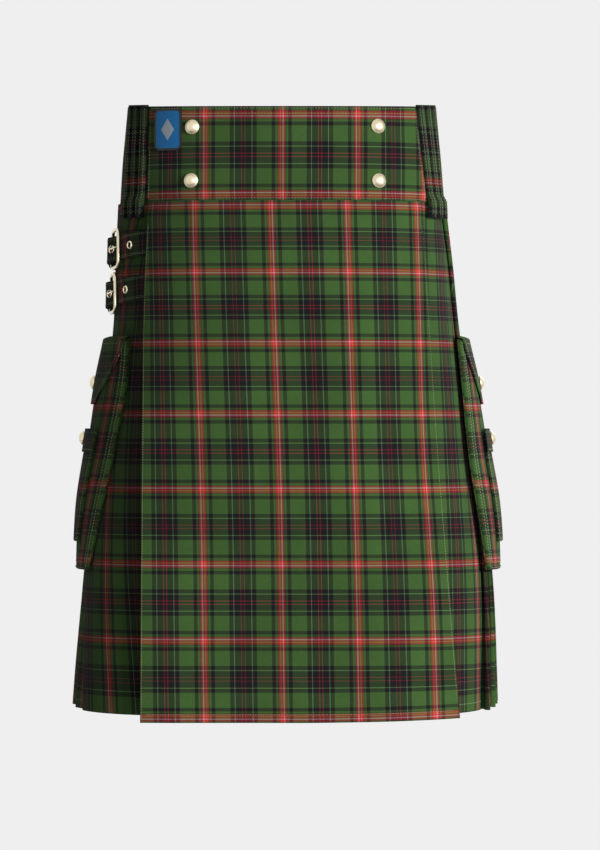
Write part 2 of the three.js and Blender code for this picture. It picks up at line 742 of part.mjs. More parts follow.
// A closed band of rows that each go all the way round
function sleeveFrom(rowPoints) {
  const columns = rowPoints[0].length;
  const points = rowPoints.flat();
  const faces = [];
  for (let i = 0; i < rowPoints.length - 1; i += 1) {
    for (let j = 0; j < columns - 1; j += 1) {
      const a = i * columns + j;
      faces.push(a, a + 1, a + columns + 1, a, a + columns + 1, a + columns);
    }
  }
  return closed(fromPoints(points, faces));
}

// A domed stud or snap that sits on the cloth
function makeDome(name, sizes, z, distance, up) {
  const { radius, height } = sizes;
  const profile = domeProfile.map(([r, h]) => new THREE.Vector2(r * radius, h * height));
  const geometry = new THREE.LatheGeometry(profile, domeSides);
  const out = outward(z, distance);
  const at = place(z, distance, up + sizes.rest);
  geometry.applyQuaternion(new THREE.Quaternion().setFromUnitVectors(new THREE.Vector3(0, 1, 0), out));
  add(name, closed(geometry.translate(at.x, at.y, at.z)), brass);
}

// How far a pocket's face is filled out at a height, less towards its front and back edges
function fillAt(z, along) {
  return smooth(pocketSections, 'fill', z) * (1 - (along / fillReach) ** 2);
}

function makePocket(name, side) {
  const forward = side < 0 ? 'left' : 'right';
  const centreAt = (z) => ringAt(z).sideDistance(0, side) - side * smooth(pocketSections, forward, z);
  const flat = (rest) => () => rest;
  const filled = (rest) => (z, along) => rest + fillAt(z, along);
  const piece = (suffix, geometry) => add(`${name}_${suffix}`, geometry, cloth);
  const height = pocket.top - pocket.bottom;
  const backRows = steps(pocketRows, 0, height).map((down) => ({ down, halfWidth: pocket.halfWidth }));
  const flapHeight = phoneFlap.top - phoneFlap.bottom;
  const flapRows = [0, flapHeight].map((down) => ({ down, halfWidth: phoneFlap.halfWidth }));
  const { wide, middle, narrow } = pocketColumns;
  piece('back', panel(backRows, pocket.top, centreAt, flat(pocket.rest), pocket.backWall, wide));
  piece('bag', tray(pocket, centreAt, flat(pocket.rest + pocket.backWall + seamGap), pocketRows, wide));
  piece('flap', panel(flapOutline, pocketFlap.top, centreAt, filled(pocketFlap.rest), pocketFlap.wall, wide));
  piece('phone_pocket', tray(phonePocket, centreAt, filled(phonePocket.rest), phonePocketRows, narrow));
  piece('phone_flap', panel(flapRows, phoneFlap.top, centreAt, filled(phoneFlap.rest), phoneFlap.wall, middle));
  const dome = (suffix, z, flap) => (
    makeDome(`${name}_${suffix}`, stud, z, centreAt(z), flap.rest + flap.wall + fillAt(z, 0)));
  dome('flap_stud', pocketFlap.top - flapStudDown, pocketFlap);
  dome('phone_stud', phoneStudHeight, phoneFlap);
}

function makePatch() {
  const { corner, halfWidth, halfHeight } = patch;
  const outline = [halfHeight, halfHeight - 0.3 * corner, halfHeight - corner, 0].map((h) => {
    const past = Math.max(h - (halfHeight - corner), 0);
    return { h, halfWidth: halfWidth - corner + Math.sqrt(Math.max(corner * corner - past * past, 0)) };
  });
  const rows = [...outline, ...outline.slice(0, 3).reverse().map((row) => ({ ...row, h: -row.h }))];
  const full = rows.map((row) => ({ down: halfHeight - row.h, halfWidth: row.halfWidth }));
  const centreAt = (z) => ringAt(z).frontDistance(patch.x);
  add('badge_patch', panel(full, patch.z + halfHeight, centreAt, () => patch.rest, patch.wall, 5), patchBlue);
}

makeWaistband();
makeLoops();
makePleats();
makeUnderApron();
makeFrontApron();
Object.entries(strapHeights).forEach(([name, middle]) => makeStrap(name, middle));
Object.entries(snapPlaces).forEach(([name, { x, z }]) => (
  makeDome(name, snap, z, ringAt(z).frontDistance(x), 0)));
makePatch();
makePocket('pocket_left', -1);
makePocket('pocket_right', 1);

export default kilt;
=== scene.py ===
"""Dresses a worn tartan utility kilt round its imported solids: cloth, pleats, pockets, metal and stitching.

Sizes are in millimetres and are turned into metres as each mesh is made. A place on the cloth is a height z,
a distance along the body's outline from the middle of the front, and an offset out from that outline.
"""
from __future__ import annotations

import logging
import math
from collections.abc import Callable, Sequence
from dataclasses import dataclass, field
from enum import Enum
from itertools import pairwise

import bpy
import numpy as np
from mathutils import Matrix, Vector

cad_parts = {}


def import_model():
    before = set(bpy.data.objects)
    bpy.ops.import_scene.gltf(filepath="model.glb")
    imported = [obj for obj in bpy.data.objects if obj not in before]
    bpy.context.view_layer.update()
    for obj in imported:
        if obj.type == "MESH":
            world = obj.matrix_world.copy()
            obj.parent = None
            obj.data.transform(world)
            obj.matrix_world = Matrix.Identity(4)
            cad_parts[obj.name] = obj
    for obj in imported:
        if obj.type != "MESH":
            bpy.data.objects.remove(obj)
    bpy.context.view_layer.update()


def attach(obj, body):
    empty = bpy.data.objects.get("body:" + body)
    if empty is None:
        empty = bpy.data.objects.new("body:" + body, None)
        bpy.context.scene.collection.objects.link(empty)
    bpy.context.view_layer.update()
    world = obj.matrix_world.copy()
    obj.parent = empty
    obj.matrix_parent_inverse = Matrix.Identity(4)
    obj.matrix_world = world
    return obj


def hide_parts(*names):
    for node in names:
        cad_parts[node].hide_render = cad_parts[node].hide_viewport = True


LOG = logging.getLogger("kilt")
MM = 0.001
RING_STEPS = 1440
Colour = tuple[float, float, float, float]
Place = tuple[float, float, float]
Line = Sequence[tuple[float, float]]
Socket = bpy.types.NodeSocket


class Slot(Enum):
    """The record's material slots."""

    CLOTH = "tartan_cloth"
    BRIGHT = "bright_brass"
    PALE = "pale_brass"
    PATCH = "patch"


class Held(Enum):
    """How a sheet of cloth is held."""

    HUNG = "hung"
    LAID = "laid"
    FOLDED = "folded"
    STRETCHED = "stretched"


@dataclass(frozen=True)
class Section:
    """The body's outline at one height."""

    z: float
    centre: float
    half_width: float
    half_depth: float
    front_power: float
    back_power: float


@dataclass(frozen=True)
class PleatRow:
    """Where the first and last free folds are at one height, and the step between a pleat's layers."""

    z: float
    first_fold: float
    last_fold: float
    pitch: float


@dataclass(frozen=True)
class ApronRow:
    """The front apron's two edges at one height, its offset, and how flat its left side is."""

    z: float
    left: float
    right: float
    offset: float
    flatness: float


@dataclass(frozen=True)
class Crease:
    """A soft ridge in the cloth between two places, or a trough where its rise is below nothing."""

    from_along: float
    from_z: float
    to_along: float
    to_z: float
    width: float
    rise: float


BODY = (
    Section(46, -2.3, 158.8, 114, 2.5, 2.2),
    Section(0, -2.3, 163.6, 118, 2.5, 2.2),
    Section(-46, -2.2, 166.5, 122, 2.5, 2.2),
    Section(-110, 0, 171.6, 133, 2.5, 2.2),
    Section(-171, 2, 175.6, 142, 2.6, 2.2),
    Section(-300, 3.4, 191, 152, 2.9, 2.3),
    Section(-422, 4, 207.5, 159, 3.2, 2.4),
    Section(-565, 1, 214.6, 165, 3.4, 2.5),
)
PLEATS = (
    PleatRow(-46.5, 203, 205, 2.1),
    PleatRow(-60, 206, 210, 2.1),
    PleatRow(-110, 218, 228, 2.1),
    PleatRow(-170, 226, 240, 2.2),
    PleatRow(-240, 230, 245, 2.5),
    PleatRow(-320, 232, 246, 3),
    PleatRow(-400, 232, 243, 3.5),
    PleatRow(-480, 231, 236, 4),
    PleatRow(-550, 229, 228, 4.5),
)
APRON = (
    ApronRow(-46.4, -135.4, 137.8, -1.1, 0),
    ApronRow(-52, -135.6, 138.2, 1.7, 0.04),
    ApronRow(-64, -136.3, 139, 1.9, 0.12),
    ApronRow(-90, -137.6, 140.8, 1.3, 0.16),
    ApronRow(-134, -139.4, 143.4, 1.2, 0.17),
    ApronRow(-175, -140.4, 146, 1.2, 0.19),
    ApronRow(-240, -140.7, 150, 1.2, 0.26),
    ApronRow(-320, -141, 155.4, 1.2, 0.4),
    ApronRow(-400, -141.3, 161.8, 1.2, 0.54),
    ApronRow(-480, -141.6, 168, 1.2, 0.68),
    ApronRow(-564, -141.9, 174.5, 1.2, 0.8),
)
# Folds that the worn cloth has: few and shallow, since the cloth is stiff and well pressed
CREASES = (
    Crease(-95, -70, -60, -330, 26, 1.1),
    Crease(-20, -90, -8, -300, 30, -0.9),
    Crease(48, -70, 70, -380, 28, 1.2),
    Crease(100, -120, 118, -470, 22, -1.0),
    Crease(-105, -360, -112, -560, 20, 1.3),
    Crease(-40, -330, -36, -560, 26, -1.1),
    Crease(14, -380, 22, -560, 22, 1.4),
    Crease(92, -400, 100, -560, 24, 1.3),
    Crease(330, -90, 350, -300, 26, 1.2),
    Crease(400, -120, 410, -420, 30, -1.2),
    Crease(-330, -100, -345, -330, 28, 1.2),
    Crease(-410, -150, -420, -440, 26, -1.1),
    Crease(465, -300, 480, -550, 28, 1.3),
)


def smooth(rows: Sequence[object], key: str, z: float) -> float:
    """Reads a smooth curve through one column of a table.

    Args:
        rows: The table, with a height in each row.
        key: The column.
        z: The height to read at.

    Returns:
        The column's value there.
    """
    ordered = sorted(rows, key=lambda row: -row.z)
    heights = [row.z for row in ordered]
    values = [getattr(row, key) for row in ordered]
    if z >= heights[0]:
        return values[0]
    if z <= heights[-1]:
        return values[-1]
    i = next(k for k in range(len(heights) - 1) if heights[k + 1] <= z)

    def slope(k: int) -> float:
        a, b = max(k - 1, 0), min(k + 1, len(heights) - 1)
        return (values[b] - values[a]) / (heights[b] - heights[a])

    span = heights[i + 1] - heights[i]
    t = (z - heights[i]) / span
    ends = (2 * t**3 - 3 * t**2 + 1) * values[i] + (3 * t**2 - 2 * t**3) * values[i + 1]
    return ends + ((t**3 - 2 * t**2 + t) * slope(i) + (t**3 - t**2) * slope(i + 1)) * span


def mix(a: float, b: float, t: float) -> float:
    """Returns the value a share t of the way from a to b."""
    return a + (b - a) * t


def ease(t: np.ndarray | float) -> np.ndarray | float:
    """Returns a share from 0 to 1 with soft ends."""
    t = np.clip(t, 0, 1)
    return t * t * (3 - 2 * t)


def table(*columns: np.ndarray | float) -> np.ndarray:
    """Puts columns side by side, with a single number repeated down its own."""
    return np.stack(np.broadcast_arrays(*columns), axis=-1)


def bell(z: float, middle: float, width: float) -> float:
    """Returns a share that is whole at a middle height and fades above and below it."""
    return math.exp(-(((z - middle) / width) ** 2))


def between(start: float, end: float, count: int) -> np.ndarray:
    """Returns evenly spaced values between two ends, without the ends."""
    return np.linspace(start, end, count + 2)[1:-1]


def distances(line: np.ndarray) -> np.ndarray:
    """Returns how far along a line each of its points is."""
    return np.concatenate([[0], np.cumsum(np.linalg.norm(np.diff(line, axis=0), axis=1))])


def unit_rows(rows: np.ndarray) -> np.ndarray:
    """Returns rows of directions, each one long."""
    return rows / np.linalg.norm(rows, axis=1)[:, None]


class Ring:
    """The body's outline at one height, walked by distance from the middle of the front."""

    def __init__(self, z: float) -> None:
        """Walks the outline once.

        Args:
            z: The height.
        """
        keys = ("centre", "half_width", "half_depth", "front_power", "back_power")
        shape = [smooth(BODY, key, z) for key in keys]
        self.centre, self.half_width, self.half_depth, self.front, self.back = shape
        turn = np.linspace(-math.pi / 2, 1.5 * math.pi, RING_STEPS + 1)
        c, s = np.cos(turn), np.sin(turn)
        power = np.where(s < 0, self.front, self.back)
        reach = (np.abs(c / self.half_width) ** power + np.abs(s / self.half_depth) ** power) ** (-1 / power)
        self.x, self.y = c * reach, s * reach
        self.lengths = distances(table(self.x, self.y))
        self.length = float(self.lengths[-1])

    def at(self, along: np.ndarray, up: np.ndarray | float) -> tuple[np.ndarray, np.ndarray]:
        """Finds points of the outline moved out by an offset.

        Args:
            along: Distances from the middle of the front.
            up: Offsets.

        Returns:
            Their x and y.
        """
        s = np.mod(along, self.length)
        x, y = np.interp(s, self.lengths, self.x), np.interp(s, self.lengths, self.y)
        power = np.where(y < 0, self.front, self.back) - 1
        nx = np.sign(x) * np.abs(x / self.half_width) ** power / self.half_width
        ny = np.sign(y) * np.abs(y / self.half_depth) ** power / self.half_depth
        size = np.hypot(nx, ny)
        return x + nx / size * up + self.centre, y + ny / size * up

    def front_distance(self, x: float, offset: float = 0.0) -> float:
        """Returns the distance at which the front half reaches x."""
        along = np.linspace(-self.length / 4, self.length / 4, RING_STEPS)
        return float(np.interp(x, self.at(along, offset)[0], along))

    def side_distance(self, y: float, side: int) -> float:
        """Returns the distance at which one side, 1 for right and -1 for left, reaches y."""
        along = np.linspace(0, self.length / 2, RING_STEPS)
        return float(side * np.interp(y, self.at(side * along, 0)[1], along))


class Body:
    """The worn body that the cloth follows, with the cloth's soft creases."""

    def __init__(self) -> None:
        """Starts with no outline walked."""
        self._rings: dict[float, Ring] = {}

    def ring(self, z: float) -> Ring:
        """Returns the outline at a height, walked once for each tenth of a millimetre."""
        key = round(float(z), 1)
        if key not in self._rings:
            self._rings[key] = Ring(key)
        return self._rings[key]

    def relief(self, z: float, along: np.ndarray) -> np.ndarray:
        """Returns how far the creases move the cloth at a height."""
        length = self.ring(z).length
        s = np.mod(along + length / 2, length) - length / 2
        total = np.zeros_like(s)
        for crease in CREASES:
            run = np.array([crease.to_along - crease.from_along, crease.to_z - crease.from_z])
            past, above = s - crease.from_along, z - crease.from_z
            t = np.clip((past * run[0] + above * run[1]) / (run @ run), 0, 1)
            gap = np.hypot(past - t * run[0], above - t * run[1])
            total += crease.rise * np.exp(-((gap / crease.width) ** 2))
        return total

    def row(self, z: float, along: Sequence[float], up: Sequence[float] | float) -> np.ndarray:
        """Finds a row of points at one height.

        Args:
            z: The height.
            along: Distances from the middle of the front.
            up: Offsets.

        Returns:
            The points, three columns.
        """
        along = np.asarray(along, float)
        x, y = self.ring(z).at(along, np.asarray(up, float) + self.relief(z, along))
        return np.stack([x, y, np.full_like(x, z)], axis=-1)

    def lay(self, places: np.ndarray) -> np.ndarray:
        """Finds points from rows of height, distance and offset."""
        out = np.empty((len(places), 3))
        heights = np.round(places[:, 0], 1)
        for z in np.unique(heights):
            here = heights == z
            out[here] = self.row(float(z), places[here, 1], places[here, 2])
            out[here, 2] = places[here, 0]
        return out

    def outward(self, places: np.ndarray) -> np.ndarray:
        """Returns the directions straight out of the cloth at rows of height, distance and offset."""
        along = self.lay(places + (0, 1, 0)) - self.lay(places - (0, 1, 0))
        rise = self.lay(places + (1, 0, 0)) - self.lay(places - (1, 0, 0))
        return unit_rows(np.cross(along, rise))


BODY_FORM = Body()


def rounded(line: Line, radius: float, arc: int, parts: Sequence[int]) -> np.ndarray:
    """Rounds a line's corners and divides its straights, into the same count of points whatever its sizes.

    Args:
        line: Corners as distance and offset.
        radius: How far from a corner its curve starts.
        arc: Steps in each curve.
        parts: Stretches that each straight is divided into.

    Returns:
        The points, two columns.
    """
    points = np.array(line, float)
    runs = np.diff(points, axis=0)
    lengths = np.linalg.norm(runs, axis=1)
    starts, ends = points[:-1].copy(), points[1:].copy()
    curves = []
    for i in range(1, len(points) - 1):
        cut = min(radius, 0.45 * lengths[i - 1], 0.45 * lengths[i])
        a = points[i] - runs[i - 1] / lengths[i - 1] * cut
        b = points[i] + runs[i] / lengths[i] * cut
        ends[i - 1], starts[i] = a, b
        t = np.linspace(0, 1, arc + 1)[:, None]
        curves.append((1 - t) ** 2 * a + 2 * t * (1 - t) * points[i] + t * t * b)
    made = [points[:1]]
    for i, count in enumerate(parts):
        t = np.linspace(0, 1, count + 1)[1:-1, None]
        made.append(starts[i] + (ends[i] - starts[i]) * t)
        made.append(curves[i] if i < len(curves) else points[-1:])
    return np.concatenate(made)


class Nodes:
    """Builds a tree of shader nodes in few words."""

    def __init__(self, tree: bpy.types.NodeTree) -> None:
        """Works on one tree."""
        self.tree = tree

    def add(self, kind: str, settings: dict[str, object] | None = None, **inputs: object) -> bpy.types.Node:
        """Adds a node.

        Args:
            kind: The node's type, without ShaderNode before it.
            settings: Properties of the node itself.
            inputs: Values or sockets for its inputs, by name with _ for a space, or by in and a number.

        Returns:
            The node.
        """
        node = self.tree.nodes.new("ShaderNode" + kind)
        for key, value in (settings or {}).items():
            setattr(node, key, value)
        self.feed(node, **inputs)
        return node

    def feed(self, node: bpy.types.Node, **inputs: object) -> None:
        """Gives a node's inputs their values or sockets, named as for add."""
        for key, value in inputs.items():
            place = int(key[2:]) if key[:2] == "in" and key[2:].isdigit() else key.replace("_", " ")
            if isinstance(value, Socket):
                self.tree.links.new(value, node.inputs[place])
            else:
                node.inputs[place].default_value = value

    def use(self, group: bpy.types.NodeTree, **inputs: object) -> bpy.types.Node:
        """Places a shared group with its own values."""
        return self.add("Group", {"node_tree": group}, **inputs)

    def maths(self, operation: str, *values: object) -> Socket:
        """Adds a Math node and returns its result."""
        inputs = {f"in{i}": value for i, value in enumerate(values)}
        return self.add("Math", {"operation": operation}, **inputs).outputs[0]

    def blend(self, share: object, a: object, b: object, kind: str = "MIX") -> Socket:
        """Mixes two colours and returns the result."""
        node = self.add("Mix", {"data_type": "RGBA", "blend_type": kind}, in0=share, in6=a, in7=b)
        return node.outputs[2]

    def remap(self, value: Socket, from_low: float, from_high: float, low: float, high: float) -> Socket:
        """Stretches one range of values onto another and returns the result."""
        ends = {"From_Min": from_low, "From_Max": from_high, "To_Min": low, "To_Max": high}
        return self.add("MapRange", None, Value=value, **ends).outputs[0]

    def bump(self, strength: float, depth: float, height: Socket) -> Socket:
        """Adds a bump of a depth in millimetres and returns the normal."""
        return self.add("Bump", None, Strength=strength, Distance=depth * MM, Height=height).outputs[0]


def linear(red: float, green: float, blue: float) -> Colour:
    """Returns a colour of the screen, 0 to 255, as the shader's linear colour."""
    share = (np.array([red, green, blue]) / 255).tolist()
    return (*(v / 12.92 if v <= 0.04045 else ((v + 0.055) / 1.055) ** 2.4 for v in share), 1.0)


def darker(colour: Colour, share: float) -> Colour:
    """Returns a share of a colour."""
    return (*(share * v for v in colour[:3]), 1.0)


def new_group(name: str, inputs: Sequence[tuple[str, str, object]],
              outputs: Sequence[tuple[str, str]]) -> tuple[Nodes, bpy.types.Node, bpy.types.Node]:
    """Makes an empty node group with named sockets.

    Args:
        name: The group's name.
        inputs: Name, socket kind and starting value of each input.
        outputs: Name and socket kind of each output.

    Returns:
        The tree to build in, its entry and its exit.
    """
    tree = bpy.data.node_groups.new(name, "ShaderNodeTree")
    for label, kind, value in inputs:
        socket = tree.interface.new_socket(label, in_out="INPUT", socket_type="NodeSocket" + kind)
        if value is not None:
            socket.default_value = value
    for label, kind in outputs:
        tree.interface.new_socket(label, in_out="OUTPUT", socket_type="NodeSocket" + kind)
    return Nodes(tree), tree.nodes.new("NodeGroupInput"), tree.nodes.new("NodeGroupOutput")


@dataclass(frozen=True)
class Yarn:
    """One dyed yarn: the place across the sett where its stripe starts, and its colour."""

    start: float
    colour: Colour


DARK = linear(27, 27, 29)
GREEN = linear(68, 101, 50)
LIGHT_GREEN = linear(106, 144, 92)
OLIVE = linear(84, 68, 40)
DIM_RED = linear(160, 42, 58)
RED = linear(200, 34, 58)
ORANGE = linear(200, 112, 56)
PALE = linear(218, 172, 172)
SETT_WIDTH = 76.5
SETT = (
    Yarn(0, DARK), Yarn(1.27, DIM_RED), Yarn(2.07, DARK), Yarn(8.1, LIGHT_GREEN), Yarn(9.1, DARK),
    Yarn(13.2, GREEN), Yarn(28.1, DARK), Yarn(31.7, GREEN), Yarn(33.7, OLIVE), Yarn(34.8, RED),
    Yarn(36.25, ORANGE), Yarn(37.45, RED), Yarn(39.05, PALE), Yarn(40.25, RED), Yarn(41.7, OLIVE),
    Yarn(42.8, GREEN), Yarn(44.8, DARK), Yarn(48.4, GREEN), Yarn(63.3, DARK), Yarn(67.4, LIGHT_GREEN),
    Yarn(68.4, DARK), Yarn(74.4, DIM_RED), Yarn(75.2, DARK),
)
RED_GROUP = 38.25


class SharedEffects:
    """The node groups that more than one finish uses."""

    def __init__(self) -> None:
        """Builds the groups once."""
        self.sett = self._sett()
        self.twill = self._twill()
        self.variation = self._variation()

    def _sett(self) -> bpy.types.NodeTree:
        """Returns the tartan's stripes across and down the cloth."""
        made, entry, leave = new_group(
            "Tartan sett", [("Place", "Vector", None)], [("Across", "Color"), ("Down", "Color")]
        )
        split = made.add("SeparateXYZ", None, Vector=entry.outputs[0])
        for axis in range(2):
            across = made.maths("PINGPONG", split.outputs[axis], SETT_WIDTH * MM)
            ramp = made.add("ValToRGB", None, Fac=made.maths("DIVIDE", across, SETT_WIDTH * MM))
            stripes = ramp.color_ramp
            stripes.interpolation = "CONSTANT"
            stripes.elements.remove(stripes.elements[-1])
            stripes.elements[0].position = 0
            stripes.elements[0].color = SETT[0].colour
            for yarn in SETT[1:]:
                stripes.elements.new(yarn.start / SETT_WIDTH).color = yarn.colour
            made.tree.links.new(ramp.outputs[0], leave.inputs[axis])
        return made.tree

    def _twill(self) -> bpy.types.NodeTree:
        """Returns the twill weave: which yarn is on top, and the weave's height."""
        made, entry, leave = new_group(
            "Twill weave",
            [("Place", "Vector", None), ("Yarns per mm", "Float", 1.5)],
            [("Over", "Float"), ("Height", "Float")],
        )
        split = made.add("SeparateXYZ", None, Vector=entry.outputs[0])
        turns = made.maths("MULTIPLY", entry.outputs[1], 2 * math.pi / MM)
        u = made.maths("MULTIPLY", split.outputs[0], turns)
        v = made.maths("MULTIPLY", split.outputs[1], turns)
        diagonal = made.maths("SINE", made.maths("MULTIPLY", made.maths("ADD", u, v), 0.25))
        threads = made.maths("MULTIPLY", made.maths("SINE", u), made.maths("SINE", v))
        low = made.maths("MULTIPLY", threads, 0.3)
        height = made.maths("ADD", made.maths("MULTIPLY", diagonal, 0.5), low)
        made.feed(leave, Over=made.remap(diagonal, -0.5, 0.5, 0.22, 0.78), Height=height)
        return made.tree

    def _variation(self) -> bpy.types.NodeTree:
        """Returns slow and fine changes of shade over a surface."""
        made, entry, leave = new_group(
            "Shade variation",
            [("Place", "Vector", None), ("Slow size", "Float", 14.0), ("Fine size", "Float", 900.0)],
            [("Slow", "Float"), ("Fine", "Float")],
        )
        for i, detail in enumerate((3.0, 2.0)):
            noise = made.add("TexNoise", None, Vector=entry.outputs[0], Scale=entry.outputs[1 + i],
                             Detail=detail, Roughness=0.55)
            made.tree.links.new(noise.outputs[0], leave.inputs[i])
        return made.tree


def new_material(name: str) -> tuple[bpy.types.Material, Nodes, bpy.types.Node]:
    """Makes a material.

    Args:
        name: Its name.

    Returns:
        The material, its tree, and its Principled BSDF.
    """
    material = bpy.data.materials.new(name)
    material.use_nodes = True
    return material, Nodes(material.node_tree), material.node_tree.nodes["Principled BSDF"]


@dataclass(frozen=True)
class TartanCloth:
    """The twill tartan cloth."""

    name: str = "tartan twill"
    roughness: float = 0.92
    shine: float = 0.08
    sheen: float = 0.06
    sheen_roughness: float = 0.6
    yarns_per_mm: float = 2.4
    yarn_height: float = 0.25
    weave_strength: float = 0.35
    crossing_share: float = 0.55

    def make(self, shared: SharedEffects) -> bpy.types.Material:
        """Returns the cloth's material, which reads the cloth's flat place from its UV map."""
        material, nodes, shader = new_material(self.name)
        flat = nodes.add("TexCoord").outputs["UV"]
        body = nodes.add("TexCoord").outputs["Object"]
        sett = nodes.use(shared.sett, Place=flat)
        twill = nodes.use(shared.twill, Place=flat, Yarns_per_mm=self.yarns_per_mm)
        shade = nodes.use(shared.variation, Place=body, Slow_size=16.0, Fine_size=1400.0)
        yarns = nodes.blend(twill.outputs["Over"], sett.outputs["Across"], sett.outputs["Down"])
        crossed = nodes.blend(1.0, sett.outputs["Across"], sett.outputs["Down"], "MULTIPLY")
        deep = nodes.add("Gamma", None, Color=crossed, Gamma=0.5).outputs[0]
        woven = nodes.blend(self.crossing_share, yarns, deep)
        slow = nodes.remap(shade.outputs["Slow"], 0.3, 0.7, 0.88, 1.1)
        fine = nodes.remap(shade.outputs["Fine"], 0.25, 0.75, 0.8, 1.2)
        tone = nodes.maths("MULTIPLY", slow, fine)
        toned = nodes.add("VectorMath", {"operation": "SCALE"}, in0=woven, in3=tone).outputs[0]
        fuzz = nodes.maths("MULTIPLY", shade.outputs["Fine"], 0.8)
        height = nodes.maths("ADD", twill.outputs["Height"], fuzz)
        normal = nodes.bump(self.weave_strength, self.yarn_height, height)
        nodes.feed(shader, Base_Color=toned, Normal=normal, Roughness=self.roughness)
        nodes.feed(shader, Specular_IOR_Level=self.shine, Sheen_Weight=self.sheen,
                   Sheen_Roughness=self.sheen_roughness)
        return material


@dataclass(frozen=True)
class Metal:
    """A plated metal with fine scratches and slightly dulled places."""

    name: str
    colour: Colour
    roughness: float
    scratch: float = 0.12
    scratch_depth: float = 0.05
    dulled: float = 0.82

    def make(self, shared: SharedEffects) -> bpy.types.Material:
        """Returns the metal's material."""
        material, nodes, shader = new_material(self.name)
        body = nodes.add("TexCoord").outputs["Object"]
        shade = nodes.use(shared.variation, Place=body, Slow_size=220.0, Fine_size=2600.0)
        rough = nodes.remap(shade.outputs["Slow"], 0.3, 0.7, self.roughness * 0.75, self.roughness * 1.35)
        tint = nodes.blend(shade.outputs["Slow"], self.colour, darker(self.colour, self.dulled))
        nodes.feed(shader, Base_Color=tint, Roughness=rough, Metallic=1.0,
                   Normal=nodes.bump(self.scratch, self.scratch_depth, shade.outputs["Fine"]))
        return material


@dataclass(frozen=True)
class SewingThread:
    """The pale green thread of the visible stitching."""

    name: str = "sewing thread"
    colour: Colour = linear(196, 196, 160)
    shadow: float = 0.6
    roughness: float = 0.7
    twist_strength: float = 0.3
    twist_depth: float = 0.1

    def make(self, shared: SharedEffects) -> bpy.types.Material:
        """Returns the thread's material, with its twist."""
        material, nodes, shader = new_material(self.name)
        body = nodes.add("TexCoord").outputs["Object"]
        shade = nodes.use(shared.variation, Place=body, Slow_size=30.0, Fine_size=2400.0)
        tint = nodes.blend(shade.outputs["Fine"], darker(self.colour, self.shadow), self.colour)
        normal = nodes.bump(self.twist_strength, self.twist_depth, shade.outputs["Fine"])
        nodes.feed(shader, Base_Color=tint, Normal=normal, Roughness=self.roughness)
        return material


PATCH_HALF_WIDTH = 15.6
PATCH_HALF_HEIGHT = 21.0
PATCH_CORNER = 6.0


@dataclass(frozen=True)
class PlainPatch:
    """The woven patch: a blue field in a dark border, with one plain grey lozenge."""

    name: str = "woven patch"
    rim: float = 2.3
    lozenge_half_width: float = 7.5
    lozenge_half_height: float = 11.0
    rib: float = 0.7
    rib_strength: float = 0.5
    rib_depth: float = 0.15
    roughness: float = 0.6
    blue: Colour = linear(20, 120, 185)
    border: Colour = linear(8, 11, 18)
    grey: Colour = linear(176, 188, 196)

    def make(self) -> bpy.types.Material:
        """Returns the patch's material, which reads the place on the patch from its UV map."""
        material, nodes, shader = new_material(self.name)
        flat = nodes.add("TexCoord").outputs["UV"]
        split = nodes.add("SeparateXYZ", None, Vector=flat)
        across = nodes.maths("ABSOLUTE", split.outputs[0])
        down = nodes.maths("ABSOLUTE", split.outputs[1])
        past = [nodes.maths("MAXIMUM", nodes.maths("SUBTRACT", place, (half - PATCH_CORNER) * MM), 0.0)
                for place, half in ((across, PATCH_HALF_WIDTH), (down, PATCH_HALF_HEIGHT))]
        reach = nodes.maths("SQRT", nodes.maths("ADD", *[nodes.maths("POWER", side, 2.0) for side in past]))
        on_border = nodes.maths("GREATER_THAN", reach, (PATCH_CORNER - self.rim) * MM)
        lozenge = nodes.maths("ADD", nodes.maths("DIVIDE", across, self.lozenge_half_width * MM),
                              nodes.maths("DIVIDE", down, self.lozenge_half_height * MM))
        on_lozenge = nodes.maths("LESS_THAN", lozenge, 1.0)
        tint = nodes.blend(on_border, nodes.blend(on_lozenge, self.blue, self.grey), self.border)
        ribs = nodes.maths("SINE", nodes.maths("MULTIPLY", split.outputs[1], 2 * math.pi / (self.rib * MM)))
        normal = nodes.bump(self.rib_strength, self.rib_depth, ribs)
        nodes.feed(shader, Base_Color=tint, Normal=normal, Roughness=self.roughness)
        return material


def start_clean() -> None:
    """Leaves edit mode and selects nothing."""
    if bpy.context.object and bpy.context.object.mode != "OBJECT":
        bpy.ops.object.mode_set(mode="OBJECT")
    bpy.ops.object.select_all(action="DESELECT")


def name_made(name: str) -> bpy.types.Object:
    """Names the object that was just made and returns it."""
    made = bpy.context.object
    made.name = name
    made.data.name = name
    return made


def points_of(piece: bpy.types.Object) -> np.ndarray:
    """Returns a mesh's points as three columns, in metres."""
    flat = np.empty(len(piece.data.vertices) * 3)
    piece.data.vertices.foreach_get("co", flat)
    return flat.reshape(-1, 3)


def move_points(piece: bpy.types.Object, points: np.ndarray) -> None:
    """Moves a mesh's points to new places, in metres."""
    piece.data.vertices.foreach_set("co", points.astype(np.float32).ravel())
    piece.data.update()


def lay_flat(piece: bpy.types.Object, flat: np.ndarray) -> None:
    """Writes each point's place on the flat cloth, in millimetres, to the piece's UV map."""
    corners = np.empty(len(piece.data.loops), int)
    piece.data.loops.foreach_get("vertex_index", corners)
    spread = flat[corners] * MM
    piece.data.uv_layers[0].data.foreach_set("uv", spread.astype(np.float32).ravel())


def pick(*pieces: bpy.types.Object) -> None:
    """Selects only these pieces and makes the last one active."""
    start_clean()
    for piece in pieces:
        piece.select_set(True)
    bpy.context.view_layer.objects.active = pieces[-1]


def face_out(piece: bpy.types.Object) -> None:
    """Turns a closed mesh's faces out."""
    pick(piece)
    bpy.ops.object.mode_set(mode="EDIT")
    bpy.ops.mesh.select_all(action="SELECT")
    bpy.ops.mesh.normals_make_consistent(inside=False)
    bpy.ops.object.mode_set(mode="OBJECT")


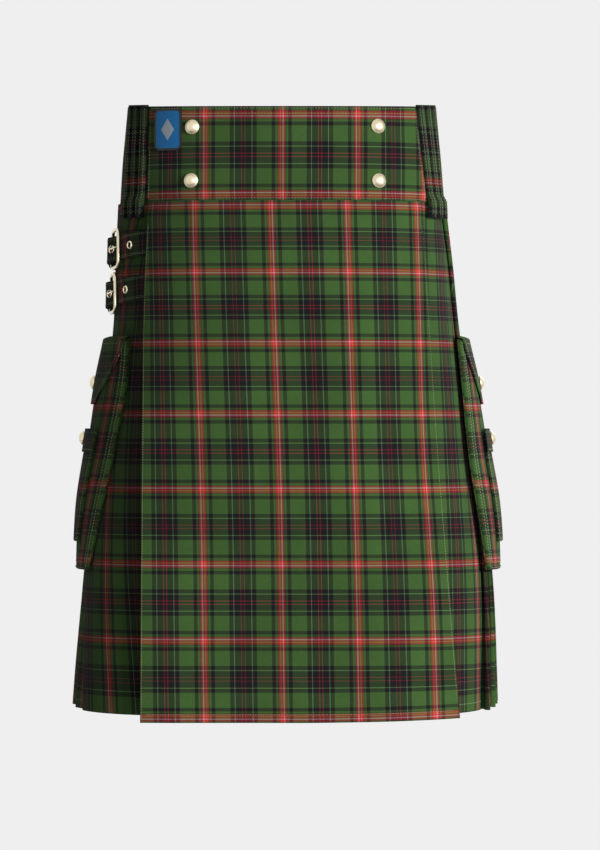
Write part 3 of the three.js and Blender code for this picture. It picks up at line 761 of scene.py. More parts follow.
def apply_modifier(piece: bpy.types.Object, kind: str, **settings: object) -> None:
    """Adds a modifier with its settings and applies it."""
    bpy.context.view_layer.objects.active = piece
    bpy.ops.object.modifier_add(type=kind)
    modifier = piece.modifiers[-1]
    for key, value in settings.items():
        setattr(modifier, key, value)
    bpy.ops.object.modifier_apply(modifier=modifier.name)


def shade(piece: bpy.types.Object, degrees: float) -> None:
    """Shades a piece smooth up to an angle."""
    pick(piece)
    bpy.ops.object.shade_smooth_by_angle(angle=math.radians(degrees))


@dataclass(frozen=True)
class Cut:
    """The flat cut of a sheet, in metres: its width, its length, and its area where it isn't a rectangle."""

    width: float
    length: float
    area: float | None = None


@dataclass
class Workshop:
    """Makes the finished pieces, dresses them and puts them on the frame."""

    materials: dict[str, bpy.types.Material] = field(default_factory=dict)
    made: list[str] = field(default_factory=list)

    def finish(self, piece: bpy.types.Object, material: str, nodes: Sequence[str]) -> None:
        """Gives a piece its material and its place on the frame.

        Args:
            piece: The finished mesh.
            material: The finish's name.
            nodes: The solids that the piece stands for.
        """
        piece.data.materials.clear()
        piece.data.materials.append(self.materials[material])
        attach(piece, "root")
        if nodes:
            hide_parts(*nodes)
        self.made.append(piece.name)
        LOG.info("%s: %d faces", piece.name, len(piece.data.polygons))

    def sheet(self, node: str, points: np.ndarray, flat: np.ndarray, wall: float, *,
              name: str = "", cut: Cut | None = None, soft_edge: float = 0.0,
              drop: np.ndarray | None = None, weld: bool = False) -> None:
        """Makes a sheet of cloth from a grid of points in its middle.

        Args:
            node: The solid that it stands for.
            points: Rows from the bottom up, columns to the right as seen from outside, three values in mm.
            flat: The place of each point on the flat cloth, two values in mm.
            wall: The cloth's thickness.
            name: The piece's name, or nothing to name it after the solid.
            cut: Its flat cut, or nothing to measure it on the points; the cut is worked out but not used.
            soft_edge: The width of the bevel along the cut edges.
            drop: The points of the grid whose faces are left out as a hole.
            weld: Whether points in the same place are joined.
        """
        rows, columns = points.shape[:2]
        start_clean()
        bpy.ops.mesh.primitive_grid_add(x_subdivisions=columns - 1, y_subdivisions=rows - 1, size=1,
                                        calc_uvs=True)
        piece = name_made(name or f"{node}_cloth")
        unit = points_of(piece) + 0.5
        column = np.rint(unit[:, 0] * (columns - 1)).astype(int)
        row = np.rint(unit[:, 1] * (rows - 1)).astype(int)
        move_points(piece, points[row, column] * MM)
        lay_flat(piece, flat[row, column])
        if drop is not None:
            self._leave_out(piece, drop, row, column)
        if weld:
            bpy.ops.object.mode_set(mode="EDIT")
            bpy.ops.mesh.select_all(action="SELECT")
            bpy.ops.mesh.remove_doubles(threshold=0.00002)
            bpy.ops.object.mode_set(mode="OBJECT")
        apply_modifier(piece, "SOLIDIFY", thickness=wall * MM, offset=0.0, use_even_offset=False)
        if soft_edge:
            apply_modifier(piece, "BEVEL", width=soft_edge * MM, segments=2, limit_method="ANGLE",
                           angle_limit=math.radians(60))
        shade(piece, 45)
        self.finish(piece, "cloth", [node])
        cut = cut or self._cut_of(points)

    @staticmethod
    def _leave_out(piece: bpy.types.Object, drop: np.ndarray, row: np.ndarray, column: np.ndarray) -> None:
        """Deletes the faces of a grid that a mask of its points covers."""
        bpy.ops.object.mode_set(mode="EDIT")
        bpy.ops.mesh.select_mode(type="FACE")
        bpy.ops.mesh.select_all(action="DESELECT")
        bpy.ops.object.mode_set(mode="OBJECT")
        for face in piece.data.polygons:
            face.select = all(drop[row[v], column[v]] for v in face.vertices)
        bpy.ops.object.mode_set(mode="EDIT")
        bpy.ops.mesh.delete(type="FACE")
        bpy.ops.mesh.select_mode(type="VERT")
        bpy.ops.object.mode_set(mode="OBJECT")

    @staticmethod
    def _cut_of(points: np.ndarray) -> Cut:
        """Measures the flat cut of a grid of points."""
        across = np.linalg.norm(np.diff(points, axis=1), axis=2).sum(axis=1)
        down = np.linalg.norm(np.diff(points, axis=0), axis=2).sum(axis=0)
        width, length = round(float(across.max()) * MM, 3), round(float(down.max()) * MM, 3)
        area = float(across.mean() * down.mean()) * MM * MM
        return Cut(width, length, round(min(area, width * length), 6))

    @staticmethod
    def turned(name: str, profile: Line, sides: int, loop: bool) -> bpy.types.Object:
        """Turns a profile about Z by extruding a ring of edges again and again.

        Args:
            name: The piece's name.
            profile: Radius and height of each ring, in mm.
            sides: Faces round it.
            loop: Whether the last ring is the first one again, as in a tube.

        Returns:
            The closed piece, at the origin.
        """
        start_clean()
        radius, height = profile[0]
        bpy.ops.mesh.primitive_circle_add(vertices=sides, radius=radius * MM, location=(0, 0, 0))
        piece = name_made(name)
        bpy.ops.object.mode_set(mode="EDIT")
        bpy.ops.mesh.select_mode(type="VERT")
        bpy.ops.mesh.select_all(action="SELECT")
        bpy.ops.transform.translate(value=(0, 0, height * MM))
        for (r0, h0), (r1, h1) in pairwise(profile):
            bpy.ops.mesh.extrude_region_move(TRANSFORM_OT_translate={"value": (0, 0, (h1 - h0) * MM)})
            bpy.ops.transform.resize(value=(r1 / r0, r1 / r0, 1))
        bpy.ops.mesh.select_all(action="SELECT")
        if loop:
            bpy.ops.mesh.remove_doubles(threshold=0.00001)
        else:
            bpy.ops.mesh.fill_holes(sides=0)
        bpy.ops.object.mode_set(mode="OBJECT")
        face_out(piece)
        return piece

    @staticmethod
    def copy(piece: bpy.types.Object, name: str) -> bpy.types.Object:
        """Copies a modelled piece, with its own mesh."""
        twin = piece.copy()
        twin.data = piece.data.copy()
        twin.name = name
        twin.data.name = name
        bpy.context.scene.collection.objects.link(twin)
        return twin


@dataclass
class Stitching:
    """Runs of small stitches, each a copy of one modelled stitch, that become one mesh."""

    length: float = 2.2
    pitch: float = 3.1
    thick: float = 0.5
    lift: float = 0.1
    reach: float = 0.4
    chunks: list[np.ndarray] = field(default_factory=list)

    def pattern(self) -> tuple[np.ndarray, list[list[int]]]:
        """Models the one stitch and returns its points, in mm, and its faces."""
        start_clean()
        bpy.ops.mesh.primitive_uv_sphere_add(segments=6, ring_count=4, radius=0.5)
        stitch = name_made("stitch_pattern")
        ball = points_of(stitch)
        points = table(ball[:, 2] * self.length, ball[:, 0] * self.thick, ball[:, 1] * self.thick)
        points[:, 2] -= 0.5 * self.thick * (2 * points[:, 0] / self.length) ** 2
        faces = [list(face.vertices) for face in stitch.data.polygons]
        bpy.data.objects.remove(stitch)
        return points, faces

    def run(self, path: np.ndarray, normals: np.ndarray) -> None:
        """Places stitches along a path.

        Args:
            path: Points in mm.
            normals: The directions out of the cloth at them.
        """
        lengths = distances(path)
        count = int(lengths[-1] // self.pitch)
        if count < 1:
            return

        def read(values: np.ndarray, where: np.ndarray) -> np.ndarray:
            return table(*(np.interp(where, lengths, column) for column in values.T))

        at = (np.arange(count) + 0.5) * lengths[-1] / count
        ahead = unit_rows(read(path, at + self.reach) - read(path, at - self.reach))
        out = read(normals, at)
        out = unit_rows(out - (out * ahead).sum(axis=1)[:, None] * ahead)
        centre = read(path, at) + self.lift * out
        self.chunks.append(np.stack([centre, ahead, np.cross(out, ahead), out], axis=1))

    def on_body(self, places: np.ndarray) -> None:
        """Places stitches along rows of height, distance and offset on the body."""
        self.run(BODY_FORM.lay(places), BODY_FORM.outward(places))

    def make(self, shop: Workshop, name: str) -> None:
        """Makes one mesh of all the stitches so far, and starts afresh."""
        base, faces = self.pattern()
        frames = np.concatenate(self.chunks)
        self.chunks = []
        spread = np.einsum("pk,nkx->npx", base, frames[:, 1:]) + frames[:, None, 0]
        mesh = bpy.data.meshes.new(name)
        count = len(base)
        all_faces = [[v + i * count for v in face] for i in range(len(frames)) for face in faces]
        mesh.from_pydata((spread.reshape(-1, 3) * MM).tolist(), [], all_faces)
        piece = bpy.data.objects.new(name, mesh)
        bpy.context.scene.collection.objects.link(piece)
        shade(piece, 70)
        shop.finish(piece, "thread", [])


@dataclass
class Waistband:
    """The waistband's front panel, the band behind it, and its pintucked belt loops."""

    top: float = 46.0
    bottom: float = -46.0
    top_left: float = -135.0
    top_right: float = 132.2
    bottom_left: float = -137.4
    bottom_right: float = 143.1
    front_wall: float = 1.9
    front_puff: float = 0.35
    back_outer: float = -2.3
    back_wall: float = 2.2
    back_end: float = 108.0
    under_end: float = 104.0
    seam: float = 0.4
    soft_edge: float = 0.6
    rib_width: float = 9.5
    rib_gap: float = 4.0
    rib_count: int = 3
    tuck_inset: float = 0.7
    tuck_lean: float = 0.1
    tuck_foot: float = 0.3
    tuck_shoulder: float = 3.1
    tuck_crown: float = 3.6
    loop_edge: float = 0.5
    loop_wall: float = 0.95
    loop_bottom: float = -62.0
    loop_rise: float = 1.6
    loop_past_right: float = 1.2
    loop_past_left: float = 2.0
    loop_over_band: float = 0.55
    loop_on_skirt: float = 1.1
    loop_step_from: float = -38.0
    loop_step: float = 7.6
    loop_red_drop: float = 63.5
    loop_stitch_inset: float = 1.9
    loop_stitch_up: float = 3.9
    dark_start: float = 63.6
    dark_width: float = 10.6
    rows: int = 31
    red_rows: tuple[float, float] = (38.0, -40.4)
    rim: float = 52.8
    rim_slope: float = 0.045
    rim_from: float = 15.0
    edge_stitch: float = 1.8
    second_stitch: float = 7.0
    end_stitch: float = 2.5
    back_low_stitch: float = 3.8
    back_past_right: float = 44.0
    back_past_left: float = 46.0
    back_loop_half: float = 22.0
    stitch_up: float = 0.3
    end_stitch_up: float = 0.25
    end_stitch_short: float = 3.0

    @property
    def rib_pitch(self) -> float:
        """The distance from one tuck to the next."""
        return self.rib_width + self.rib_gap

    @property
    def loop_width(self) -> float:
        """The width of a belt loop."""
        return self.rib_count * self.rib_pitch - self.rib_gap

    def share(self, z: float) -> float:
        """Returns how far down the waistband a height is."""
        return (self.top - z) / (self.top - self.bottom)

    def left_end(self, z: float) -> float:
        """Returns where the front panel starts at a height."""
        return BODY_FORM.ring(z).front_distance(mix(self.top_left, self.bottom_left, self.share(z)))

    def right_end(self, z: float) -> float:
        """Returns where the front panel ends at a height."""
        return BODY_FORM.ring(z).front_distance(mix(self.top_right, self.bottom_right, self.share(z)))

    def down(self, z: float) -> float:
        """Returns the place down the sett at a height of the band."""
        high, low = self.red_rows
        return RED_GROUP + SETT_WIDTH * (high - z) / (high - low)

    def raised(self, places: np.ndarray) -> np.ndarray:
        """Lifts places near the band's top, which is higher at the sides and the back."""
        share = np.clip((places[:, 0] - self.rim_from) / (self.top - self.rim_from), 0, 1)
        rim = self.rim + self.rim_slope * BODY_FORM.lay(places)[:, 1]
        lifted = places.copy()
        lifted[:, 0] += share * (rim - self.top)
        return lifted

    def row(self, z: float, along: np.ndarray, up: np.ndarray | float) -> np.ndarray:
        """Lays one row of the band or of a loop."""
        points = BODY_FORM.row(z, along, up)
        points[:, 2] += self.raised(table(float(z), along, up))[:, 0] - z
        return points

    def strip(self, ends: Callable[[float], tuple[float, float]], middle: float, columns: int,
              puff: float) -> tuple[np.ndarray, np.ndarray]:
        """Lays a strip of the band.

        Args:
            ends: Its two ends at a height.
            middle: The offset of its middle.
            columns: Points along it.
            puff: How far it swells between its stitch lines.

        Returns:
            Its points and their flat places.
        """
        points, flat = [], []
        for z in np.linspace(self.bottom, self.top, self.rows):
            along = np.linspace(*ends(z), columns)
            swell = puff * math.sin(math.pi * min(max(self.share(z), 0), 1)) ** 0.5
            points.append(self.row(z, along, middle + swell))
            flat.append(table(along + RED_GROUP, -self.down(z)))
        return np.array(points), np.array(flat)

    def make_band(self, shop: Workshop) -> None:
        """Makes the three pieces of the band."""

        def front(z: float) -> tuple[float, float]:
            return self.left_end(z), self.right_end(z)

        def back(z: float) -> tuple[float, float]:
            ring = BODY_FORM.ring(z)
            return ring.front_distance(self.back_end), ring.length + self.left_end(z)

        def under(z: float) -> tuple[float, float]:
            return self.left_end(z) + self.seam, BODY_FORM.ring(z).front_distance(self.under_end)

        middle = self.back_outer - self.back_wall / 2
        for node, ends, offset, wall, columns, puff in (
            ("waistband_front", front, -self.front_wall / 2, self.front_wall, 96, self.front_puff),
            ("waistband_back", back, middle, self.back_wall, 220, 0.0),
            ("waistband_under", under, middle, self.back_wall, 80, 0.0),
        ):
            points, flat = self.strip(ends, offset, columns, puff)
            shop.sheet(node, points, flat, wall, soft_edge=self.soft_edge)

    def loop_base(self, z: float) -> float:
        """Returns the offset that a loop's underside has at a height: it steps out over the skirt."""
        step = float(ease((self.loop_step_from - z) / self.loop_step))
        return mix(self.back_outer + self.loop_over_band, self.loop_on_skirt, step)

    def loop_start(self, node: str, z: float) -> float:
        """Returns the distance at which a loop starts at a height."""
        ring, share = BODY_FORM.ring(z), min(self.share(z), 1)
        if node == "belt_loop_back":
            return (ring.length - self.loop_width) / 2
        if node == "belt_loop_front_right":
            return ring.front_distance(mix(self.top_right, self.bottom_right, share) + self.loop_past_right)
        end = mix(self.top_left, self.bottom_left, share) - self.loop_past_left
        return ring.front_distance(end) - self.loop_width

    def loop_profile(self) -> np.ndarray:
        """Returns the distances and offsets of a loop's cloth across its tucks."""
        foot, shoulder = self.tuck_inset, self.tuck_inset + self.tuck_lean
        line, parts = [(0.0, self.loop_edge)], []
        for k in range(self.rib_count):
            start = k * self.rib_pitch
            end = start + self.rib_width
            line += [(start + foot, self.tuck_foot), (start + shoulder, self.tuck_shoulder),
                     ((start + end) / 2, self.tuck_crown), (end - shoulder, self.tuck_shoulder),
                     (end - foot, self.tuck_foot)]
            parts += [1, 2, 4, 4, 2]
        line.append((self.loop_width, self.loop_edge))
        return rounded(line, 1.0, 3, [*parts, 1])

    def make_loops(self, shop: Workshop, sewing: Stitching) -> None:
        """Makes the belt loops, each of three tucks side by side, with their edge stitching."""
        profile = self.loop_profile()
        across = self.dark_start + self.dark_width * (profile[:, 0] / self.rib_pitch % 1.0)
        cut = Cut(round(float(distances(profile)[-1]) * MM, 3), round((self.top - self.loop_bottom) * MM, 3))
        heights = np.linspace(self.loop_bottom, self.top + self.loop_rise, 38)
        for node in ("belt_loop_front_right", "belt_loop_front_left", "belt_loop_back"):
            points, flat = [], []
            for z in heights:
                start, base = self.loop_start(node, z), self.loop_base(z)
                points.append(self.row(z, start + profile[:, 0], base + profile[:, 1]))
                flat.append(table(across, -self.down(z + self.loop_red_drop)))
            shop.sheet(node, np.array(points), np.array(flat), self.loop_wall, cut=cut)
            edge = np.array([(z, self.loop_start(node, z), self.loop_base(z)) for z in heights[1:-1]])
            for k in range(self.rib_count):
                for inset in (self.loop_stitch_inset, self.rib_width - self.loop_stitch_inset):
                    sewing.on_body(self.raised(edge + (0, k * self.rib_pitch + inset, self.loop_stitch_up)))

    def sew_front(self, sewing: Stitching) -> None:
        """Stitches the front panel: two lines along its top and its bottom, and one down each end."""
        for inset in (self.edge_stitch, self.second_stitch):
            for z in (self.top - inset, self.bottom + inset):
                left, right = self.left_end(z) + self.end_stitch, self.right_end(z) - self.end_stitch
                sewing.on_body(self.raised(table(z, np.linspace(left, right, 200), self.stitch_up)))
        heights = np.linspace(self.bottom + self.end_stitch_short, self.top - self.end_stitch_short, 30)
        for end, way in ((self.left_end, 1), (self.right_end, -1)):
            line = [(z, end(z) + way * self.end_stitch, self.end_stitch_up) for z in heights]
            sewing.on_body(self.raised(np.array(line)))

    def sew_back(self, sewing: Stitching) -> None:
        """Stitches the back of the band between its loops, along its top and its bottom."""
        for z in (self.top - self.edge_stitch, self.bottom + self.back_low_stitch):
            length = BODY_FORM.ring(z).length
            start = self.right_end(z) + self.back_past_right
            along = np.linspace(start, length + self.left_end(z) - self.back_past_left, 500)
            for part in (along[along < length / 2 - self.back_loop_half],
                         along[along > length / 2 + self.back_loop_half]):
                sewing.on_body(self.raised(table(z, part, self.back_outer)))

    def make(self, shop: Workshop) -> None:
        """Makes the waistband and its loops."""
        sewing = Stitching(thick=0.42)
        self.make_band(shop)
        self.make_loops(shop, sewing)
        self.sew_front(sewing)
        self.sew_back(sewing)
        sewing.make(shop, "waistband_stitching")


@dataclass(frozen=True)
class PleatRun:
    """A run of knife pleats between two hidden folds."""

    name: str
    first: int
    last: int


@dataclass
class Skirt:
    """The knife pleats, the under apron and the front apron."""

    pleat_count: int = 24
    pleat_cloth: float = 54.0
    pleat_wall: float = 1.3
    apron_wall: float = 1.5
    panel_start: float = 118.0
    under_end: float = 96.0
    under_flat: float = -100.0
    under_sink: float = -3.3
    top: float = -46.5
    hem: float = -550.0
    hem_level: float = -550.5
    hem_slope: float = 0.0455
    hem_from: float = -500.0
    rows: int = 86
    fold_radius: float = 1.1
    flare_from: float = -430.0
    flare_reach: float = 120.0
    flare_drift: float = 1.6
    flare_lift: float = 1.2
    pleat_place: float = 10.0
    run_place: float = 21.0
    under_place: float = 52.0
    apron_top: float = -46.4
    apron_hem: float = -564.0
    apron_rise: float = 3.3
    apron_soft_edge: float = 0.45
    gather_z: float = -57.0
    gather_width: float = 9.0
    gather_depth: float = 0.55
    gather_from: float = -66.0
    gather_rows: int = 10
    apron_rows: int = 100
    apron_columns: int = 120
    side_stitch: float = 1.0
    right_stitch: float = 1.2
    stitch_short: tuple[float, float] = (4.0, 5.6)
    stripe_top: float = -12.8
    stripe_bottom: float = -1.1
    stripe_top_z: float = -76.0
    stripe_bow: float = 2.4
    stripe_pull: float = 7.5
    pulled_at: float = 153.0
    hem_line: float = 8.0
    runs: tuple[PleatRun, ...] = (
        PleatRun("pleats_right", 0, 6),
        PleatRun("pleats_back_right", 7, 12),
        PleatRun("pleats_back_left", 13, 18),
        PleatRun("pleats_left", 19, 24),
    )
    red_rows: tuple[float, ...] = (-52.8, -117.5, -189.0, -258.7, -334.0, -407.5, -483.3, -558.8)

    def down(self, z: float) -> float:
        """Returns the place down the sett at a height of the skirt."""
        places = [RED_GROUP + SETT_WIDTH * (k + 1) for k in range(len(self.red_rows))]
        if z > self.red_rows[0]:
            return places[0] - (z - self.red_rows[0])
        if z < self.red_rows[-1]:
            return places[-1] + (self.red_rows[-1] - z)
        return float(np.interp(-z, [-row for row in self.red_rows], places))

    def sizes(self, z: float) -> tuple[float, float, float, float]:
        """Returns the first fold, a pleat's width, the cloth under it, and its layers' pitch at a height."""
        first = smooth(PLEATS, "first_fold", z)
        last = BODY_FORM.ring(z).length - smooth(PLEATS, "last_fold", z)
        width = (last - first) / self.pleat_count
        return first, width, (self.pleat_cloth - width) / 2, smooth(PLEATS, "pitch", z)

    def flare(self, k: int, z: float) -> tuple[float, float]:
        """Returns how far a free fold drifts and lifts at a height, uneven from pleat to pleat."""
        drop = float(ease((self.flare_from - z) / self.flare_reach))
        drift = self.flare_drift * math.sin(2.4 * k + 0.6)
        lift = self.flare_lift * (1 + math.sin(1.7 * k + 1.1))
        return drift * drop, lift * drop

    def hem_shift(self, z: float, y: np.ndarray) -> np.ndarray:
        """Returns how far points near the pleats' hem move, since the hem drops towards the front."""
        share = float(ease((self.hem_from - z) / (self.hem_from - self.hem)))
        return (self.hem_level + self.hem_slope * y - self.hem) * share

    def pleat_line(self, z: float, run: PleatRun) -> np.ndarray:
        """Follows the cloth through a run of pleats at one height.

        Args:
            z: The height.
            run: The run.

        Returns:
            Distances and offsets of the cloth's middle.
        """
        first, width, under, pitch = self.sizes(z)
        slope, sink = 2 * pitch / width, -self.pleat_wall / 2
        line, parts = [], []
        for k in range(run.first, run.last + 1):
            fold = first + (k - 1) * width
            end = fold + width
            drift, lift = self.flare(k, z)
            next_drift, _ = self.flare(k + 1, z)
            if k == 0:
                start = BODY_FORM.ring(z).front_distance(self.panel_start)
                line.append((start, self.under_sink + sink))
                parts.append(24)
            else:
                line += [(fold + under, -pitch - slope * under + sink), (fold + drift, -pitch + lift + sink),
                         (fold + drift, lift + sink), (fold + under, -slope * under + sink)]
                parts += [3, 1, 5, 5]
            line += [(end + next_drift, -2 * pitch + sink), (end + under, -2 * pitch - slope * under + sink)]
            parts += [3, 1]
        return rounded(line, self.fold_radius, 3, parts[:-1])

    def hang(self, lines: Callable[[float], np.ndarray], shift: float) -> tuple[np.ndarray, np.ndarray]:
        """Lays a sheet of the skirt from its line at each height.

        Args:
            lines: The line at a height.
            shift: Where the sheet starts across the sett.

        Returns:
            Its points and their flat places.
        """
        points, flat = [], []
        for z in np.linspace(self.hem, self.top, self.rows):
            line = lines(z)
            row = BODY_FORM.row(z, line[:, 0], line[:, 1])
            row[:, 2] += self.hem_shift(z, row[:, 1])
            points.append(row)
            flat.append(table(distances(line) + shift, -self.down(z)))
        return np.array(points), np.array(flat)

    def make_pleats(self, shop: Workshop) -> None:
        """Makes the four runs of pleats."""
        for number, run in enumerate(self.runs):
            place = self.pleat_place + self.run_place * number
            points, flat = self.hang(lambda z, run=run: self.pleat_line(z, run), place)
            shop.sheet(run.name, points, flat, self.pleat_wall)

    def under_line(self, z: float) -> np.ndarray:
        """Follows the under apron at one height, from the last free fold to its end."""
        first, width, under, pitch = self.sizes(z)
        slope, sink = 2 * pitch / width, -self.pleat_wall / 2
        ring = BODY_FORM.ring(z)
        fold = first + self.pleat_count * width - ring.length
        flat, end = ring.front_distance(self.under_flat), ring.front_distance(self.under_end)
        line = [(fold + under, -pitch - slope * under + sink), (fold, -pitch + sink), (fold, sink),
                (fold + under, sink - 0.2), (flat, self.under_sink + sink), (end, self.under_sink + sink)]
        return rounded(line, self.fold_radius, 3, [4, 1, 8, 30, 60])

    def make_under_apron(self, shop: Workshop) -> None:
        """Makes the under apron."""
        points, flat = self.hang(self.under_line, self.under_place)
        shop.sheet("under_apron", points, flat, self.pleat_wall)

    def apron_row(self, z: float, columns: int) -> tuple[np.ndarray, np.ndarray]:
        """Finds the front apron's middle at one height.

        Args:
            z: The height.
            columns: Points across it.

        Returns:
            The points, and their distances across from x = 0.
        """
        keys = ("left", "right", "offset", "flatness")
        left, right, offset, flatness = (smooth(APRON, key, z) for key in keys)
        ring = BODY_FORM.ring(z)
        x = np.linspace(left, right, columns)
        along = np.linspace(-ring.length / 4, ring.length / 4, RING_STEPS)
        ring_x, ring_y = ring.at(along, offset)
        y = np.interp(x, ring_x, ring_y)
        front = -(ring.half_depth + offset)
        y = np.where(x < 0, mix(y, front, flatness), y)
        y -= BODY_FORM.relief(z, np.interp(x, ring_x, along))
        across = distances(table(x, y))
        return table(x, y, z), across - np.interp(0, x, across)

    def right_rise(self, x: np.ndarray) -> np.ndarray:
        """Returns how far the front apron's hem rises towards its right corner."""
        return self.apron_rise * (np.maximum(x, 0) / x[-1]) ** 2

    def stripe_place(self, z: float, across: np.ndarray) -> np.ndarray:
        """Returns the place across the sett, whose stripes lean and are drawn back a little on the right."""
        down = (self.stripe_top_z - z) / (self.stripe_top_z - self.apron_hem)
        middle = mix(self.stripe_top, self.stripe_bottom, down) + self.stripe_bow * bell(z, -340, 170)
        pull = self.stripe_pull * bell(z, -290, 130) * (np.maximum(across, 0) / self.pulled_at) ** 2
        return across - middle + pull + RED_GROUP

    def make_front_apron(self, shop: Workshop) -> None:
        """Makes the front apron, which hangs from the band with a soft gather under it."""
        points, flat = [], []
        hanging = np.linspace(self.apron_hem, self.gather_from, self.apron_rows)
        gathered = np.linspace(self.gather_from + 2.5, self.apron_top, self.gather_rows)
        for z in (*hanging, *gathered):
            row, across = self.apron_row(z, self.apron_columns)
            ripple = 1 + np.sin(row[:, 0] / 5.3) * np.sin(row[:, 0] / 17.0 + 0.8)
            row[:, 1] -= self.gather_depth * bell(z, self.gather_z, self.gather_width) * ripple
            near_hem = float(ease((self.hem_from - z) / (self.hem_from - self.apron_hem)))
            row[:, 2] += self.right_rise(row[:, 0]) * near_hem
            points.append(row)
            flat.append(table(self.stripe_place(z, across), -self.down(z)))
        shop.sheet("front_apron", np.array(points), np.array(flat), self.apron_wall,
                   soft_edge=self.apron_soft_edge)

    def sew_apron(self, sewing: Stitching) -> None:
        """Stitches down the front apron's two sides and along its hem."""
        front, right = (0.0, -1.0, 0.0), (0.45, -0.9, 0.0)
        surface = self.apron_wall / 2
        low, high = self.apron_hem + self.stitch_short[0], self.apron_top - self.stitch_short[1]
        rows = [self.apron_row(z, self.apron_columns)[0] for z in np.linspace(low, high, 120)]
        for end, inset, lean in ((0, self.side_stitch, front), (-1, -self.right_stitch, right)):
            path = []
            for row in rows:
                x = row[end, 0] + inset
                path.append((x, np.interp(x, row[:, 0], row[:, 1]) - surface, row[0, 2]))
            sewing.run(np.array(path), np.tile(lean, (len(path), 1)))
        hem = self.apron_row(self.apron_hem + self.hem_line, 160)[0]
        hem[:, 1] -= surface
        hem[:, 2] += self.right_rise(hem[:, 0])
        sewing.run(hem[3:-3], np.tile(front, (len(hem) - 6, 1)))

    def sew(self, shop: Workshop) -> None:
        """Stitches the front apron's edges and all the hems."""
        sewing = Stitching(length=1.9, pitch=2.6, thick=0.6)
        self.sew_apron(sewing)
        z = self.hem + self.hem_line
        for run in self.runs:
            line = self.pleat_line(z, run)
            row = BODY_FORM.row(z, line[:, 0], line[:, 1] + self.pleat_wall / 2)
            row[:, 2] += self.hem_shift(z, row[:, 1])
            out = BODY_FORM.outward(table(z, line[:, 0], line[:, 1]))
            for part in self.visible(line):
                sewing.run(row[part], out[part])
        sewing.make(shop, "skirt_stitching")

    @staticmethod
    def visible(line: np.ndarray) -> list[np.ndarray]:
        """Returns the stretches of a pleated line that face out, each from the top of its free fold."""
        ahead = np.diff(line[:, 0]) > 0.3
        parts, start = [], None
        for i, forward in enumerate(ahead):
            if forward and start is None:
                start = i
            if not forward and start is not None:
                parts.append(np.arange(start, i + 1))
                start = None
        if start is not None:
            parts.append(np.arange(start, len(line)))
        return [part[:-3] if len(part) > 8 else part for part in parts if len(part) > 6]

    def make(self, shop: Workshop) -> None:
        """Makes the skirt."""
        self.make_pleats(shop)
        self.make_under_apron(shop)
        self.make_front_apron(shop)
        self.sew(shop)


STRAP_RUN = (
    (-60, 2.3), (-40, 2.3), (-20, 2.3), (0, 2.3), (7, 2.6), (11.5, 3.8), (24.5, 8.3), (28, 8.4), (32, 8.4),
    (38, 7.6), (46, 5.7), (56, 5.25), (72, 5.2), (90, 4.2),
)
PRONG_RUN = ((-2.4, 9.1), (8, 9.1), (16.4, 8.3), (19.6, 4.9), (25, 4.6), (30, 4.3))
SLEEVE = ((1.6, -1.4), (2.1, -1.5), (2.4, -1.2), (2.4, 1.2), (2.1, 1.5), (1.6, 1.4), (1.6, -1.4))


@dataclass(frozen=True)
class EyeletPlace:
    """An eyelet's place along a strap, and the radius of its hole."""

    along: float
    hole: float


